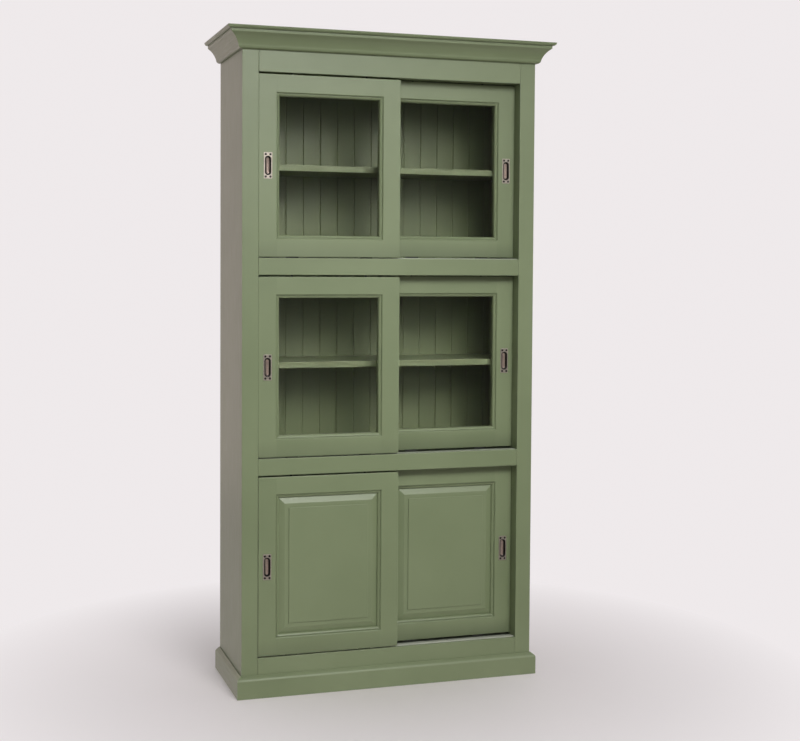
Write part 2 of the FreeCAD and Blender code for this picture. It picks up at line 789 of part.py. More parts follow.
def door_frame(name, hand):
    return group(name, [
        door_stile(name + "_left_stile", "left", hand == "left"),
        door_stile(name + "_right_stile", "right", hand == "right"),
        door_rail(name + "_bottom_rail", "bottom"),
        door_rail(name + "_top_rail", "top"),
    ])


def infill_block(name):
    side = size.door_stile_flat + size.infill_clearance
    end = size.door_rail_flat + size.infill_clearance
    return block(name, (side, door_width - side), (infill_front, rebate_depth), (end, door_height - end))


def door_glass(name):
    return group(name, [infill_block(name + "_pane")])


def raised_panel(name):
    """A thin edge under the mouldings, a flat margin, a sloping bevel and a flat field."""
    side = size.door_stile_flat + lip_width + size.panel_margin_clearance
    end = size.door_rail_flat + lip_width + size.panel_margin_clearance
    bevel_side = side + size.panel_margin_width
    bevel_end = end + size.panel_margin_width
    field_side = bevel_side + size.panel_bevel_width
    field_end = bevel_end + size.panel_bevel_width
    margin_front = infill_front - size.panel_margin_rise
    bevel_front = margin_front - size.panel_bevel_rise
    margin = block(name + "_margin", (side, door_width - side), (margin_front, infill_front),
                   (end, door_height - end))
    bevel = doc.addObject("Part::Wedge", name + "_bevel")
    limits = {
        "Xmin": field_side,
        "Xmax": door_width - field_side,
        "X2min": bevel_side,
        "X2max": door_width - bevel_side,
        "Ymin": bevel_front,
        "Ymax": margin_front,
        "Zmin": field_end,
        "Zmax": door_height - field_end,
        "Z2min": bevel_end,
        "Z2max": door_height - bevel_end,
    }
    for prop, limit in limits.items():
        bind(bevel, prop, limit)
    field = block(name + "_field", (field_side, door_width - field_side),
                  (bevel_front - size.panel_step, bevel_front), (field_end, door_height - field_end))
    return group(name, [join(name + "_solid", [infill_block(name + "_edge"), margin, bevel, field])])


def moulding_section():
    """Across from the rebate to the opening, and back from the front of the moulding."""
    return section("door_moulding_section", [
        (size.quirk_width, 0),
        (0, -size.quirk_depth),
        (size.bead_flat, 0),
        (size.bead_depth, size.bead_height, size.bead_radius, 1),
        (0, infill_front - size.moulding_setback - size.bead_height),
        (-lip_width, 0),
    ], PLAN_ON_YZ, size.quirk_depth)


def door_mouldings(name, outline):
    """Four mitred lengths around the infill."""
    depth = infill_front - size.moulding_setback
    half_across = door_width / 2 - size.door_stile_flat
    half_up = door_height / 2 - size.door_rail_flat
    to_back = (0, 1, 0)
    lengths = (
        ("bottom", half_across, axes((-1, 0, 0), (0, 0, 1), to_back), door_width / 2, size.door_rail_flat),
        ("top", half_across, axes((1, 0, 0), (0, 0, -1), to_back), door_width / 2,
         door_height - size.door_rail_flat),
        ("left", half_up, axes((0, 0, 1), (1, 0, 0), to_back), size.door_stile_flat, door_height / 2),
        ("right", half_up, axes((0, 0, -1), (-1, 0, 0), to_back), door_width - size.door_stile_flat,
         door_height / 2),
    )
    pieces = []
    for side, half_length, turn, x, z in lengths:
        piece = mitred(name + "_" + side, outline, -half_length, half_length, -1, -1,
                       lip_width, depth)
        pieces.append(place(piece, x, size.moulding_setback, z, turn))
    return group(name, pieces)


def door_runners(name, hand):
    """Two slotted shoes under the door and two guide pins on top of it."""
    half_slot = size.rib_width / 2 + size.rib_clearance
    shoe_foot = size.shoe_gap - sill_gap(hand)
    slot_roof = size.rib_height + size.rib_clearance - sill_gap(hand)
    pieces = []
    for index, x in enumerate(runner_places):
        along = (x - size.shoe_length / 2, x + size.shoe_length / 2)
        shoe = block(name + "_shoe_blank_" + str(index), along,
                     (door_middle - size.shoe_width / 2, door_middle + size.shoe_width / 2),
                     (shoe_foot, size.shoe_depth))
        slot = block(name + "_slot_" + str(index), along, (door_middle - half_slot, door_middle + half_slot),
                     (shoe_foot, slot_roof))
        pieces.append(cut(name + "_shoe_" + str(index), shoe, [slot]))
        reach = size.guide_pin_depth + head_gap(hand) + size.guide_pin_reach
        pieces.append(rod(name + "_pin_" + str(index), size.guide_pin_radius, reach, x, door_middle,
                          door_height - size.guide_pin_depth))
    return group(name, pieces)


# Flush pull: a plate with a rounded trough let into the door stile

def plane(body, role):
    return next(feature for feature in body.Origin.OriginFeatures if feature.Role == role)


def front_sketch(body, name, forward=0):
    """A sketch that looks at the front of the piece, some way in front of its plane."""
    sketch = body.newObject("Sketcher::SketchObject", name)
    sketch.AttachmentSupport = [(plane(body, "XZ_Plane"), "")]
    sketch.MapMode = "FlatFace"
    bind(sketch, "AttachmentOffset.Base.z", forward)
    return sketch


def slot_outline(sketch, width, height):
    """An upright slot with round ends, about the origin."""
    radius = width / 2
    half_straight = height / 2 - radius
    side = radius.value
    end = half_straight.value
    up = FreeCAD.Vector(0, 0, 1)
    top = Part.Circle(FreeCAD.Vector(0, end, 0), up, side)
    bottom = Part.Circle(FreeCAD.Vector(0, -end, 0), up, side)
    sketch.addGeometry([
        Part.LineSegment(FreeCAD.Vector(side, -end, 0), FreeCAD.Vector(side, end, 0)),
        Part.ArcOfCircle(top, 0, math.pi),
        Part.LineSegment(FreeCAD.Vector(-side, end, 0), FreeCAD.Vector(-side, -end, 0)),
        Part.ArcOfCircle(bottom, math.pi, 2 * math.pi),
    ], False)
    for geometry in range(4):
        sketch.addConstraint(Sketcher.Constraint("Tangent", geometry, 2, (geometry + 1) % 4, 1))
    sketch.addConstraint(Sketcher.Constraint("Equal", 1, 3))
    for arc in (1, 3):
        sketch.addConstraint(Sketcher.Constraint("PointOnObject", arc, 3, -2))
    rule = sketch.addConstraint(Sketcher.Constraint("Radius", 1, side))
    bind(sketch, "Constraints[" + str(rule) + "]", radius)
    for low, high in (((-1, 1), (1, 3)), ((3, 3), (-1, 1))):
        rule = sketch.addConstraint(Sketcher.Constraint("DistanceY", *low, *high, end))
        bind(sketch, "Constraints[" + str(rule) + "]", half_straight)


def plate_outline(sketch, width, height):
    """A rectangle about the origin."""
    x = width.value / 2
    y = height.value / 2
    corners = [FreeCAD.Vector(*corner, 0) for corner in ((-x, -y), (x, -y), (x, y), (-x, y))]
    sketch.addGeometry([Part.LineSegment(corners[i], corners[(i + 1) % 4]) for i in range(4)], False)
    for geometry in range(4):
        sketch.addConstraint(Sketcher.Constraint("Coincident", geometry, 2, (geometry + 1) % 4, 1))
    for geometry, kind in enumerate(("Horizontal", "Vertical", "Horizontal", "Vertical")):
        sketch.addConstraint(Sketcher.Constraint(kind, geometry))
    sketch.addConstraint(Sketcher.Constraint("Symmetric", 0, 1, 2, 1, -1, 1))
    for kind, geometry, length in (("DistanceX", 0, width), ("DistanceY", 1, height)):
        dimension(sketch, kind, geometry, 1, 2, length)


def pull_body(name):
    body = doc.addObject("PartDesign::Body", name + "_casting")
    plate_sketch = front_sketch(body, name + "_plate_outline")
    plate_outline(plate_sketch, pull_width, pull_height)
    plate = body.newObject("PartDesign::Pad", name + "_plate")
    plate.Profile = plate_sketch
    bind(plate, "Length", size.pull_plate)
    doc.recompute()
    upright = ["Edge" + str(number) for number, edge in enumerate(plate.Shape.Edges, start=1)
               if abs(edge.tangentAt(edge.FirstParameter).y) > 0.5]
    corners = body.newObject("PartDesign::Fillet", name + "_corners")
    corners.Base = (plate, upright)
    bind(corners, "Radius", size.pull_corner)
    cup_sketch = front_sketch(body, name + "_cup_outline")
    slot_outline(cup_sketch, cup_width, cup_height)
    cup = body.newObject("PartDesign::Pad", name + "_cup")
    cup.Profile = cup_sketch
    cup.Reversed = True
    bind(cup, "Length", cup_depth)
    recess_sketch = front_sketch(body, name + "_recess_outline", size.pull_plate)
    slot_outline(recess_sketch, size.pull_recess_width, size.pull_recess_height)
    recess = body.newObject("PartDesign::Pocket", name + "_recess")
    recess.Profile = recess_sketch
    bind(recess, "Length", size.pull_plate + size.pull_recess_depth)
    doc.recompute()
    if recess.Shape.Volume >= cup.Shape.Volume:
        raise RuntimeError(name + ": the finger recess cut nothing")
    floor_depth = size.pull_recess_depth.value
    floor = ["Face" + str(number) for number, face in enumerate(recess.Shape.Faces, start=1)
             if abs(face.CenterOfMass.y - floor_depth) < SAME_PLACE]
    rounded = body.newObject("PartDesign::Fillet", name + "_trough")
    rounded.Base = (recess, floor)
    bind(rounded, "Radius", size.pull_recess_round)
    return body


def door_pull(name, hand):
    casting = place(pull_body(name), pull_middle(hand), 0, pull_level(hand))
    bores = pull_pin_rods(name + "_bore", hand, size.pull_pin_clearance)
    return group(name, [cut(name + "_plate_and_cup", casting, bores),
                        *pull_pin_rods(name + "_pin", hand, 0)])


def door(tier, tier_name, hand, moulding_outline):
    name = tier_name + "_" + hand + "_door"
    infill = raised_panel(name + "_panel") if tier == 0 else door_glass(name + "_glass")
    pieces = (
        door_frame(name + "_frame", hand),
        infill,
        door_mouldings(name + "_mouldings", moulding_outline),
        door_pull(name + "_pull", hand),
        door_runners(name + "_runners", hand),
    )
    for piece in pieces:
        node(place(piece, *door_corner(tier, hand)), piece.Label)


# The whole cupboard

for hand in HANDS:
    side_panel(hand)
    face_stile(hand)
    jamb_liners(hand)
for name, underside, carries_track in zip(("bottom_panel", "divider_lower", "divider_upper", "top_panel"),
                                          deck_levels(), (True, True, True, False)):
    deck(name, underside, carries_track)
node(block("dust_cover", (-half_width, half_width), (front, back), (carcass_top, overall_top)), "dust_cover")
guide_battens()
back_boards()
for rail in RAILS:
    face_rail(*rail)
run_round("plinth", plinth_section(), plinth_thickness, size.plinth_height, 0)
run_round("cornice", cornice_section(), cornice_depth, cornice_height, overall_top - cornice_height)
shelf_pegs()
track_outline = track_section()
moulding_outline = moulding_section()
for tier, tier_name in enumerate(TIERS):
    shelf(tier, tier_name)
    door_track(tier, tier_name, track_outline)
    for hand in HANDS:
        door(tier, tier_name, hand, moulding_outline)
doc.recompute()

# Nothing is written unless every object and every piece is sound

faults = [item.Label for item in doc.Objects if "Invalid" in item.State or "Error" in item.State]
faults += [item.Label for item in nodes if item.Shape.isNull() or not item.Shape.isValid()]
if faults:
    raise RuntimeError("faulty pieces: " + ", ".join(faults))

os.makedirs("parts", exist_ok=True)
for item in nodes:
    item.Shape.exportStep("parts/" + item.Label + ".step")
    print(item.Label, len(item.Shape.Solids), "solids", round(item.Shape.Volume), "mm3")
print(len(nodes), "nodes")
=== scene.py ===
# %% [markdown]
# # A painted cupboard with sliding doors
#
# The real piece is a tall kitchen cupboard in sage green satin paint. Three tiers stand one over
# the other, each closed by two doors that slide past each other: the left one runs in front. The
# upper two tiers are glazed and the lowest has raised panels. A cornice with a deep hollow finishes
# the top, and a bevelled plinth the foot.
#
# The solids are ready: they come from CAD as a fixed frame, in metres, with the floor at Z = 0 and
# the doors facing -Y. This lesson dresses them. It rounds the sharp edges as sandpaper would, makes
# the repeated parts with Geometry Nodes, mixes the finishes from shader nodes, and lights the whole
# in a plain studio.

# %% Load the frame
import json
import math

import bmesh
import bpy
from mathutils import Matrix, Vector


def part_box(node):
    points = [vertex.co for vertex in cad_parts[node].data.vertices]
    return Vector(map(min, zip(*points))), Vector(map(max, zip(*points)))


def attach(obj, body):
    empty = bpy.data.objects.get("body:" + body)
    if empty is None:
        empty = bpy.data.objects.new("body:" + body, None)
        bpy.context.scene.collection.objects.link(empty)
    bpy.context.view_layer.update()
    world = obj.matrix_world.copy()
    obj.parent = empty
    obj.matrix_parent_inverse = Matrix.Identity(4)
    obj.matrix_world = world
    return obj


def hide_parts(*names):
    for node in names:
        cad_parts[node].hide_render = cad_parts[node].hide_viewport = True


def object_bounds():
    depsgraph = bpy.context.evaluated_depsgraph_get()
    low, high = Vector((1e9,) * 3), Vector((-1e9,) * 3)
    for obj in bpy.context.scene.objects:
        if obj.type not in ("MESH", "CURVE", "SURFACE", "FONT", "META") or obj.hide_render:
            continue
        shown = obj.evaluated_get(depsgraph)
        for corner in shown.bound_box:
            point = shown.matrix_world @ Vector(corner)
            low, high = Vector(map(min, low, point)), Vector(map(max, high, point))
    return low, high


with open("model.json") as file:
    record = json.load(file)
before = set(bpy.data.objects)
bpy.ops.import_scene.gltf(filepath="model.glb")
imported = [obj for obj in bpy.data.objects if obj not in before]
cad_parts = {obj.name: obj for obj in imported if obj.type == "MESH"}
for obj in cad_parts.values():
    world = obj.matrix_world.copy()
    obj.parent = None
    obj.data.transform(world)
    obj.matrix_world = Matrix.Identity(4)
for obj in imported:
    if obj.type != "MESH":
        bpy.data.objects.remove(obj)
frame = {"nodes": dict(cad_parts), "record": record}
cad_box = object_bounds()
nodes = frame["nodes"]
TIERS = ("lower", "middle", "upper")
HANDS = ("left", "right")
DOORS = [f"{tier}_{hand}_door" for tier in TIERS for hand in HANDS]
body_of_node = {node: body for body, members in frame["record"]["behaviour"]["bodies"].items()
                for node in members}

# %% [markdown]
# ## The camera
#
# The picture to match was taken from the left of the cupboard, a little below eye height, with a
# longish lens. A camera can be placed by trial, or solved from known corners and where they lie in
# the picture. Here it was solved, so the numbers below are a place, three angles and a lens. The
# small vertical shift keeps the uprights nearly parallel, as a shift lens does.

# %% Place the camera
CAMERA_PLACE = Vector((-1.3759, -4.4699, 1.3797))
CAMERA_YAW = math.radians(-17.999)
CAMERA_PITCH = math.radians(-2.386)
CAMERA_ROLL = math.radians(0.355)
CAMERA_LENS = 63.32
CAMERA_SHIFT = -0.0631
SENSOR_WIDTH = 36


def put_in_scene(thing):
    bpy.context.scene.collection.objects.link(thing)
    return thing


camera_data = bpy.data.cameras.new("camera")
camera_data.sensor_width = SENSOR_WIDTH
camera_data.lens = CAMERA_LENS
camera_data.shift_y = CAMERA_SHIFT
camera = put_in_scene(bpy.data.objects.new("camera", camera_data))
turn = (Matrix.Rotation(CAMERA_YAW, 4, "Z") @ Matrix.Rotation(math.pi / 2 + CAMERA_PITCH, 4, "X")
        @ Matrix.Rotation(CAMERA_ROLL, 4, "Z"))
camera.matrix_world = Matrix.Translation(CAMERA_PLACE) @ turn
bpy.context.scene.camera = camera
cupboard_middle = (Vector(cad_box[0]) + Vector(cad_box[1])) / 2
print("camera", round((CAMERA_PLACE - cupboard_middle).length, 2), "m from the middle of the cupboard")

# %% [markdown]
# ## Helpers for node trees
#
# Shader trees and geometry trees are made of the same things: nodes, values on their sockets, and
# links. A few short helpers keep the later cells readable. One adds a node and fills its sockets,
# each with a value or with a link from another node. One opens a node group with named sockets,
# which is how one effect is shared between several finishes. The rest are short names for nodes
# that turn up again and again.

# %% Helpers: add a node, open a group
def feed(tree, socket, value):
    """Puts a plain value on a socket, or links another node's output to it."""
    if isinstance(value, bpy.types.NodeSocket):
        tree.links.new(value, socket)
    else:
        socket.default_value = value


def add_node(tree, kind, sockets=None, **settings):
    node = tree.nodes.new(kind)
    for name, value in settings.items():
        setattr(node, name, value)
    for socket, value in (sockets or {}).items():
        feed(tree, node.inputs[socket], value)
    return node


def open_group(name, kind, inputs, outputs):
    """A node group with its sockets: the tree, what comes in, and what goes out."""
    tree = bpy.data.node_groups.new(name, kind)
    for label, socket_type, value in inputs:
        socket = tree.interface.new_socket(label, in_out="INPUT", socket_type=socket_type)
        if value is not None:
            socket.default_value = value
    for label, socket_type in outputs:
        tree.interface.new_socket(label, in_out="OUTPUT", socket_type=socket_type)
    return tree, tree.nodes.new("NodeGroupInput").outputs, tree.nodes.new("NodeGroupOutput").inputs


print("helpers for nodes and groups ready")

# %% Helpers: short names for common nodes
def math_node(tree, operation, first, second=0.0):
    return add_node(tree, "ShaderNodeMath", {0: first, 1: second}, operation=operation).outputs[0]


def vector_node(tree, operation, first, second=None, output=0, **sockets):
    if second is not None:
        sockets[1] = second
    return add_node(tree, "ShaderNodeVectorMath", {0: first, **sockets}, operation=operation).outputs[output]


def attribute(tree, name):
    return add_node(tree, "ShaderNodeAttribute", attribute_name=name).outputs


def object_point(tree):
    return add_node(tree, "ShaderNodeTexCoord").outputs["Object"]


def noise(tree, vector, scale, detail=3.0, roughness=0.5):
    sockets = {"Vector": vector, "Scale": scale, "Detail": detail, "Roughness": roughness}
    return add_node(tree, "ShaderNodeTexNoise", sockets).outputs["Fac"]


print("short names ready")

# %% [markdown]
# ## Brush marks that follow each board
#
# Paint on joinery is laid off along the grain, so the faint marks run upright on a stile and level
# on a rail. Generated or UV coordinates would need unwrapping of every board. Instead each board
# carries an attribute, grain, that holds the direction of its length. The group squeezes the object
# coordinates along that direction, so plain noise turns into long thin strokes. A second attribute,
# board, shifts the noise so that no two boards look alike.

# %% Shader group: brush marks
BOARD_SHIFT = 7.31
marks_tree, marks_in, marks_out = open_group(
    "brush_marks", "ShaderNodeTree",
    [("Across", "NodeSocketFloat", 420.0), ("Along", "NodeSocketFloat", 14.0),
     ("Patch", "NodeSocketFloat", 3.0)],
    [("Strokes", "NodeSocketFloat"), ("Patches", "NodeSocketFloat")])
grain = attribute(marks_tree, "grain")["Vector"]
shift = math_node(marks_tree, "MULTIPLY", attribute(marks_tree, "board")["Fac"], BOARD_SHIFT)
shifted = vector_node(marks_tree, "ADD", object_point(marks_tree), shift)
lengthwise = vector_node(marks_tree, "DOT_PRODUCT", shifted, grain, "Value")
squeeze = math_node(marks_tree, "SUBTRACT", marks_in["Along"], marks_in["Across"])
slide = vector_node(marks_tree, "SCALE", grain, Scale=math_node(marks_tree, "MULTIPLY", lengthwise, squeeze))
spread = vector_node(marks_tree, "SCALE", shifted, Scale=marks_in["Across"])
stretched = vector_node(marks_tree, "ADD", spread, slide)
marks_tree.links.new(noise(marks_tree, stretched, 1.0, roughness=0.55), marks_out["Strokes"])
marks_tree.links.new(noise(marks_tree, shifted, marks_in["Patch"]), marks_out["Patches"])
print("group", marks_tree.name, "with", len(marks_tree.nodes), "nodes")

# %% [markdown]
# ## Sage green satin paint
#
# The paint is a grey green with a soft sheen: broad faces look flat, and faces seen at a slant turn
# paler because they mirror bright surroundings. That paling comes from the shader's own Fresnel, so
# the roughness matters more than the colour. The patches shift the tone by a few per cent, the
# strokes go to the roughness and to a very low bump, and the arrises, marked by an attribute on the
# rounded edges, carry a painted highlight a touch lighter. The doors carry painted shade towards the
# foot, darkest just over the sill. The attribute foot says how much, and the height over the sill is
# what is left of the height after whole tiers.

# %% Helpers: materials
def new_material(name, **sockets):
    material = bpy.data.materials.new(name)
    material.use_nodes = True
    shader = material.node_tree.nodes["Principled BSDF"]
    for socket, value in sockets.items():
        shader.inputs[socket.replace("_", " ")].default_value = value
    return material, material.node_tree, shader


def mixed_colour(tree, factor, first, second):
    mix = add_node(tree, "ShaderNodeMix", data_type="RGBA")
    for name, value in (("Factor", factor), ("A", first), ("B", second)):
        feed(tree, [socket for socket in mix.inputs if socket.name == name and socket.enabled][0], value)
    return [socket for socket in mix.outputs if socket.enabled][0]


def ranged(tree, value, low, high, start=0.3, end=0.7):
    """Maps a value to the range from low to high; noise mostly lies between 0.3 and 0.7."""
    return add_node(tree, "ShaderNodeMapRange", {"Value": value, "From Min": start, "From Max": end,
                                                 "To Min": low, "To Max": high}).outputs[0]


def axes_of(tree, vector):
    """The X, Y and Z of a vector, as three outputs."""
    return add_node(tree, "ShaderNodeSeparateXYZ", {0: vector}).outputs


def bump(tree, shader, height, distance):
    node = add_node(tree, "ShaderNodeBump", {"Height": height, "Distance": distance, "Strength": 1.0})
    tree.links.new(node.outputs[0], shader.inputs["Normal"])


print("helpers for materials ready")

# %% Material: sage paint
PAINT_DEEP = (0.188, 0.232, 0.121, 1)
PAINT_PALE = (0.216, 0.262, 0.142, 1)
# painted highlight: the lighter colour of the rounded arrises
PAINT_ARRIS_HIGHLIGHT = (0.264, 0.312, 0.186, 1)
# painted shade: the colour the doors darken to just over the sill
PAINT_FOOT_SHADE = (0.03, 0.032, 0.02, 1)
PAINT_ROUGHNESS = (0.36, 0.48)
ARRIS_HIGHLIGHT_SHARE = 0.6
BRUSH_DEPTH = 0.00006
FIRST_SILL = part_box("face_rail_bottom")[1].z
TIER_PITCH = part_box("face_rail_lower")[1].z - FIRST_SILL
FOOT_SHADE_HEIGHT = 0.055

sage_paint, tree, shader = new_material("sage_paint", IOR=1.5)
marks = add_node(tree, "ShaderNodeGroup", node_tree=marks_tree).outputs
toned = mixed_colour(tree, ranged(tree, marks["Patches"], 0.0, 1.0), PAINT_DEEP, PAINT_PALE)
# painted highlight on the arrises, where the attribute arris is set
arris_highlight = math_node(tree, "MULTIPLY", attribute(tree, "arris")["Fac"], ARRIS_HIGHLIGHT_SHARE)
highlighted = mixed_colour(tree, arris_highlight, toned, PAINT_ARRIS_HIGHLIGHT)
height = axes_of(tree, object_point(tree))[2]
# painted shade at the foot of each door, darkest just over the sill
over_sill = math_node(tree, "MODULO", math_node(tree, "SUBTRACT", height, FIRST_SILL), TIER_PITCH)
near_sill = ranged(tree, over_sill, 1.0, 0.0, 0.0, FOOT_SHADE_HEIGHT)
shaded_foot = math_node(tree, "MULTIPLY", attribute(tree, "foot")["Fac"], near_sill)
tree.links.new(mixed_colour(tree, shaded_foot, highlighted, PAINT_FOOT_SHADE), shader.inputs["Base Color"])
tree.links.new(ranged(tree, marks["Strokes"], *PAINT_ROUGHNESS), shader.inputs["Roughness"])
bump(tree, shader, marks["Strokes"], BRUSH_DEPTH)
print("material", sage_paint.name, "for tiers", round(TIER_PITCH, 3), "m apart")

# %% [markdown]
# ## Boards with eased arrises
#
# No joiner leaves a knife edge: every board has its long edges taken off with sandpaper, and that
# millimetre of roundness is what catches the light. The CAD solids are sharp, so each wooden node is
# copied, its loose triangles are welded and the flat faces rejoined, and only the true outer edges
# are bevelled: those that lie in two sides of the board's own box. Mortises, housings and the ends
# that meet another board stay sharp. The copy then stands for its node.

# %% Helpers: a welded copy and its separate boards
WELD = 0.00001
FLAT = math.radians(0.5)


def welded(node):
    mesh = bmesh.new()
    mesh.from_mesh(nodes[node].data)
    bmesh.ops.remove_doubles(mesh, verts=mesh.verts, dist=WELD)
    bmesh.ops.dissolve_limit(mesh, angle_limit=FLAT, verts=mesh.verts, edges=mesh.edges)
    return mesh


def limits(verts):
    return (Vector(min(v.co[i] for v in verts) for i in range(3)),
            Vector(max(v.co[i] for v in verts) for i in range(3)))


def islands(mesh):
    """The vertices of each separate board."""
    unseen = set(mesh.verts)
    found = []
    while unseen:
        heap = [unseen.pop()]
        island = list(heap)
        while heap:
            for edge in heap.pop().link_edges:
                for vert in edge.verts:
                    if vert in unseen:
                        unseen.remove(vert)
                        heap.append(vert)
                        island.append(vert)
        found.append(island)
    return sorted(found, key=lambda island: tuple(round(c, 5) for c in limits(island)[0]))


print("boards are welded within", WELD * 1000, "mm")

# %% Helpers: a finished piece that stands for its node
SMOOTH_BELOW = math.radians(20)


def finish_mesh(mesh, name, *materials):
    """Turns a bmesh into an object at the origin, smooth where its faces nearly line up."""
    data = bpy.data.meshes.new(name)
    mesh.to_mesh(data)
    mesh.free()
    if "custom_normal" in data.attributes:
        data.attributes.remove(data.attributes["custom_normal"])
    data.shade_smooth()
    data.set_sharp_from_angle(angle=SMOOTH_BELOW)
    for material in materials:
        data.materials.append(material)
    return put_in_scene(bpy.data.objects.new(name, data))


def stand_for(piece, *replaced, slot):
    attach(piece, body_of_node[replaced[0]])
    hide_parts(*replaced)


def mark_boards(mesh):
    """Gives every board its grain direction, along its longest side, and a number of its own."""
    grain = mesh.verts.layers.float_vector.new("grain")
    board = mesh.verts.layers.float.new("board")
    for number, island in enumerate(islands(mesh)):
        low, high = limits(island)
        span = high - low
        longest = max(range(3), key=lambda axis: span[axis])
        for vert in island:
            vert[grain] = [float(axis == longest) for axis in range(3)]
            vert[board] = number + low.x + 3 * low.z


def stand_as_board(mesh, node):
    mark_boards(mesh)
    stand_for(finish_mesh(mesh, node + "_eased", sage_paint), node, slot="painted_wood")


print("edges under", round(math.degrees(SMOOTH_BELOW)), "degrees are shaded smooth")

# %% Helpers: find the outer edges and ease them
ON_SIDE = 5 * WELD
SHARP_ABOVE = math.radians(30)
IN_LINE = 0.999


def sides_of(edge, low, high):
    """In how many sides of the box from low to high an edge lies."""
    count = 0
    for axis in range(3):
        for side in (low[axis], high[axis]):
            count += all(abs(vert.co[axis] - side) < ON_SIDE for vert in edge.verts)
    return count


def outer_edges(mesh, mitred=False):
    """The edges to round: all that lie in two sides of a board's box.

    A mitred length rounds every sharp edge along it instead, and keeps its ends.
    """
    edges = set()
    for island in islands(mesh):
        low, high = limits(island)
        span = high - low
        length = max(range(3), key=lambda axis: span[axis])
        for edge in {edge for vert in island for edge in vert.link_edges}:
            if not edge.is_manifold or not edge.is_convex or edge.calc_face_angle() < SHARP_ABOVE:
                continue
            run = (edge.verts[1].co - edge.verts[0].co).normalized()
            wanted = abs(run[length]) > IN_LINE if mitred else sides_of(edge, low, high) > 1
            if wanted:
                edges.add(edge)
    return [edge for edge in mesh.edges if edge in edges]


def ease_edges(mesh, edges, radius, segments=2):
    """Rounds the edges, and marks the new faces for a painted highlight."""
    arris = mesh.faces.layers.float.get("arris") or mesh.faces.layers.float.new("arris")
    made = bmesh.ops.bevel(mesh, geom=edges, offset=radius, offset_type="OFFSET", segments=segments,
                           profile=0.5, affect="EDGES", clamp_overlap=True)
    for face in made["faces"]:
        face[arris] = 1.0


def eased_board(node, radius, **choice):
    mesh = welded(node)
    edges = outer_edges(mesh, **choice)
    ease_edges(mesh, edges, radius)
    stand_as_board(mesh, node)
    return len(edges)


print("edges over", round(math.degrees(SHARP_ABOVE)), "degrees can be eased")

# %% Ease the carcass and the cornice
CARCASS_BOARDS = {
    "side_panel_left": 0.0012, "side_panel_right": 0.0012,
    "face_stile_left": 0.0008, "face_stile_right": 0.0008,
    "shelf_lower": 0.0015, "shelf_middle": 0.0015, "shelf_upper": 0.0015, "dust_cover": 0.001,
    "divider_lower": 0.001, "divider_upper": 0.001, "bottom_panel": 0.001, "top_panel": 0.001,
    "jamb_liners_left": 0.001, "jamb_liners_right": 0.001, "guide_battens": 0.001,
}
CORNICE_EDGE = 0.0008
SIDES = ("front", "left", "right")

rounded = sum(eased_board(node, radius) for node, radius in CARCASS_BOARDS.items())
rounded += sum(eased_board("cornice_" + side, CORNICE_EDGE, mitred=True) for side in SIDES)
print(rounded, "edges eased")

# %% [markdown]
# ## Plinth and face frame
#
# Two kinds of board want more than one radius. The plinth is met by feet and mops, so the edge under
# its bevel is worn to a broad round and the others are fine. The rails of the face frame are tenoned
# between the stiles, and a joint across the grain always opens by a hair under the paint. So the
# shoulders of each rail are drawn back a little before the edges are rounded, and a thin dark line
# shows where rail and stile meet.

# %% Round the plinth
PLINTH_NOSE = 0.004
NOSE_SEGMENTS = 4
NOSE_BELOW_TOP = (0.005, 0.03)
PLINTH_EDGE = 0.0012


def worn_plinth(node):
    mesh = welded(node)
    edges = outer_edges(mesh, mitred=True)
    top = limits(mesh.verts)[1].z
    least, most = NOSE_BELOW_TOP
    nose = [edge for edge in edges if least < top - edge.verts[0].co.z < most]
    fine = [edge for edge in edges if edge not in nose]
    ease_edges(mesh, fine, PLINTH_EDGE)
    ease_edges(mesh, nose, PLINTH_NOSE, NOSE_SEGMENTS)
    stand_as_board(mesh, node)
    return len(edges)


print([worn_plinth("plinth_" + side) for side in SIDES], "plinth edges")

# %% Open the joints of the face frame
RAILS = ("bottom", "lower", "upper", "top")
RAIL_EDGE = 0.001
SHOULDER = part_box("face_stile_right")[0].x
JOINT_LEFT = 0.0007
JOINT_RIGHT = 0.0004


def on_shoulder(vert):
    return abs(abs(vert.co.x) - SHOULDER) < WELD


def jointed_rail(node):
    mesh = welded(node)
    front = limits(mesh.verts)[0].y
    edges = outer_edges(mesh)
    for edge in mesh.edges:
        upright = all(on_shoulder(vert) and abs(vert.co.y - front) < WELD for vert in edge.verts)
        if upright and edge not in edges:
            edges.append(edge)
    for vert in mesh.verts:
        if on_shoulder(vert):
            vert.co.x += JOINT_LEFT if vert.co.x < 0 else -JOINT_RIGHT
    ease_edges(mesh, edges, RAIL_EDGE)
    stand_as_board(mesh, node)
    return len(edges)


print([jointed_rail("face_rail_" + level) for level in RAILS], "rail edges")

# %% [markdown]
# ## Raised panels
#
# The two lower doors hold raised panels. A panel cutter leaves a bevel beside the moulding, then a
# narrow flat, and a small upright step around the field. The CAD solid has its bevel and flat the
# other way about, in the same depth. Here the panel is nested rectangles: each row of the table says
# how far in from the edge a rectangle lies and how far behind the field, and neighbours are joined
# by faces. Only the edge of the field is rounded.

# %% Panels from nested rectangles
PANEL_EDGE_BACK = 0.0135
BEVEL_BACK = 0.0104
FLAT_BACK = 0.0034
PANEL_STEPS = ((0.0, PANEL_EDGE_BACK), (0.0084, PANEL_EDGE_BACK), (0.0084, BEVEL_BACK), (0.0094, BEVEL_BACK),
               (0.0275, FLAT_BACK), (0.041, FLAT_BACK), (0.041, 0.0))
FIELD_EDGE = 0.0008


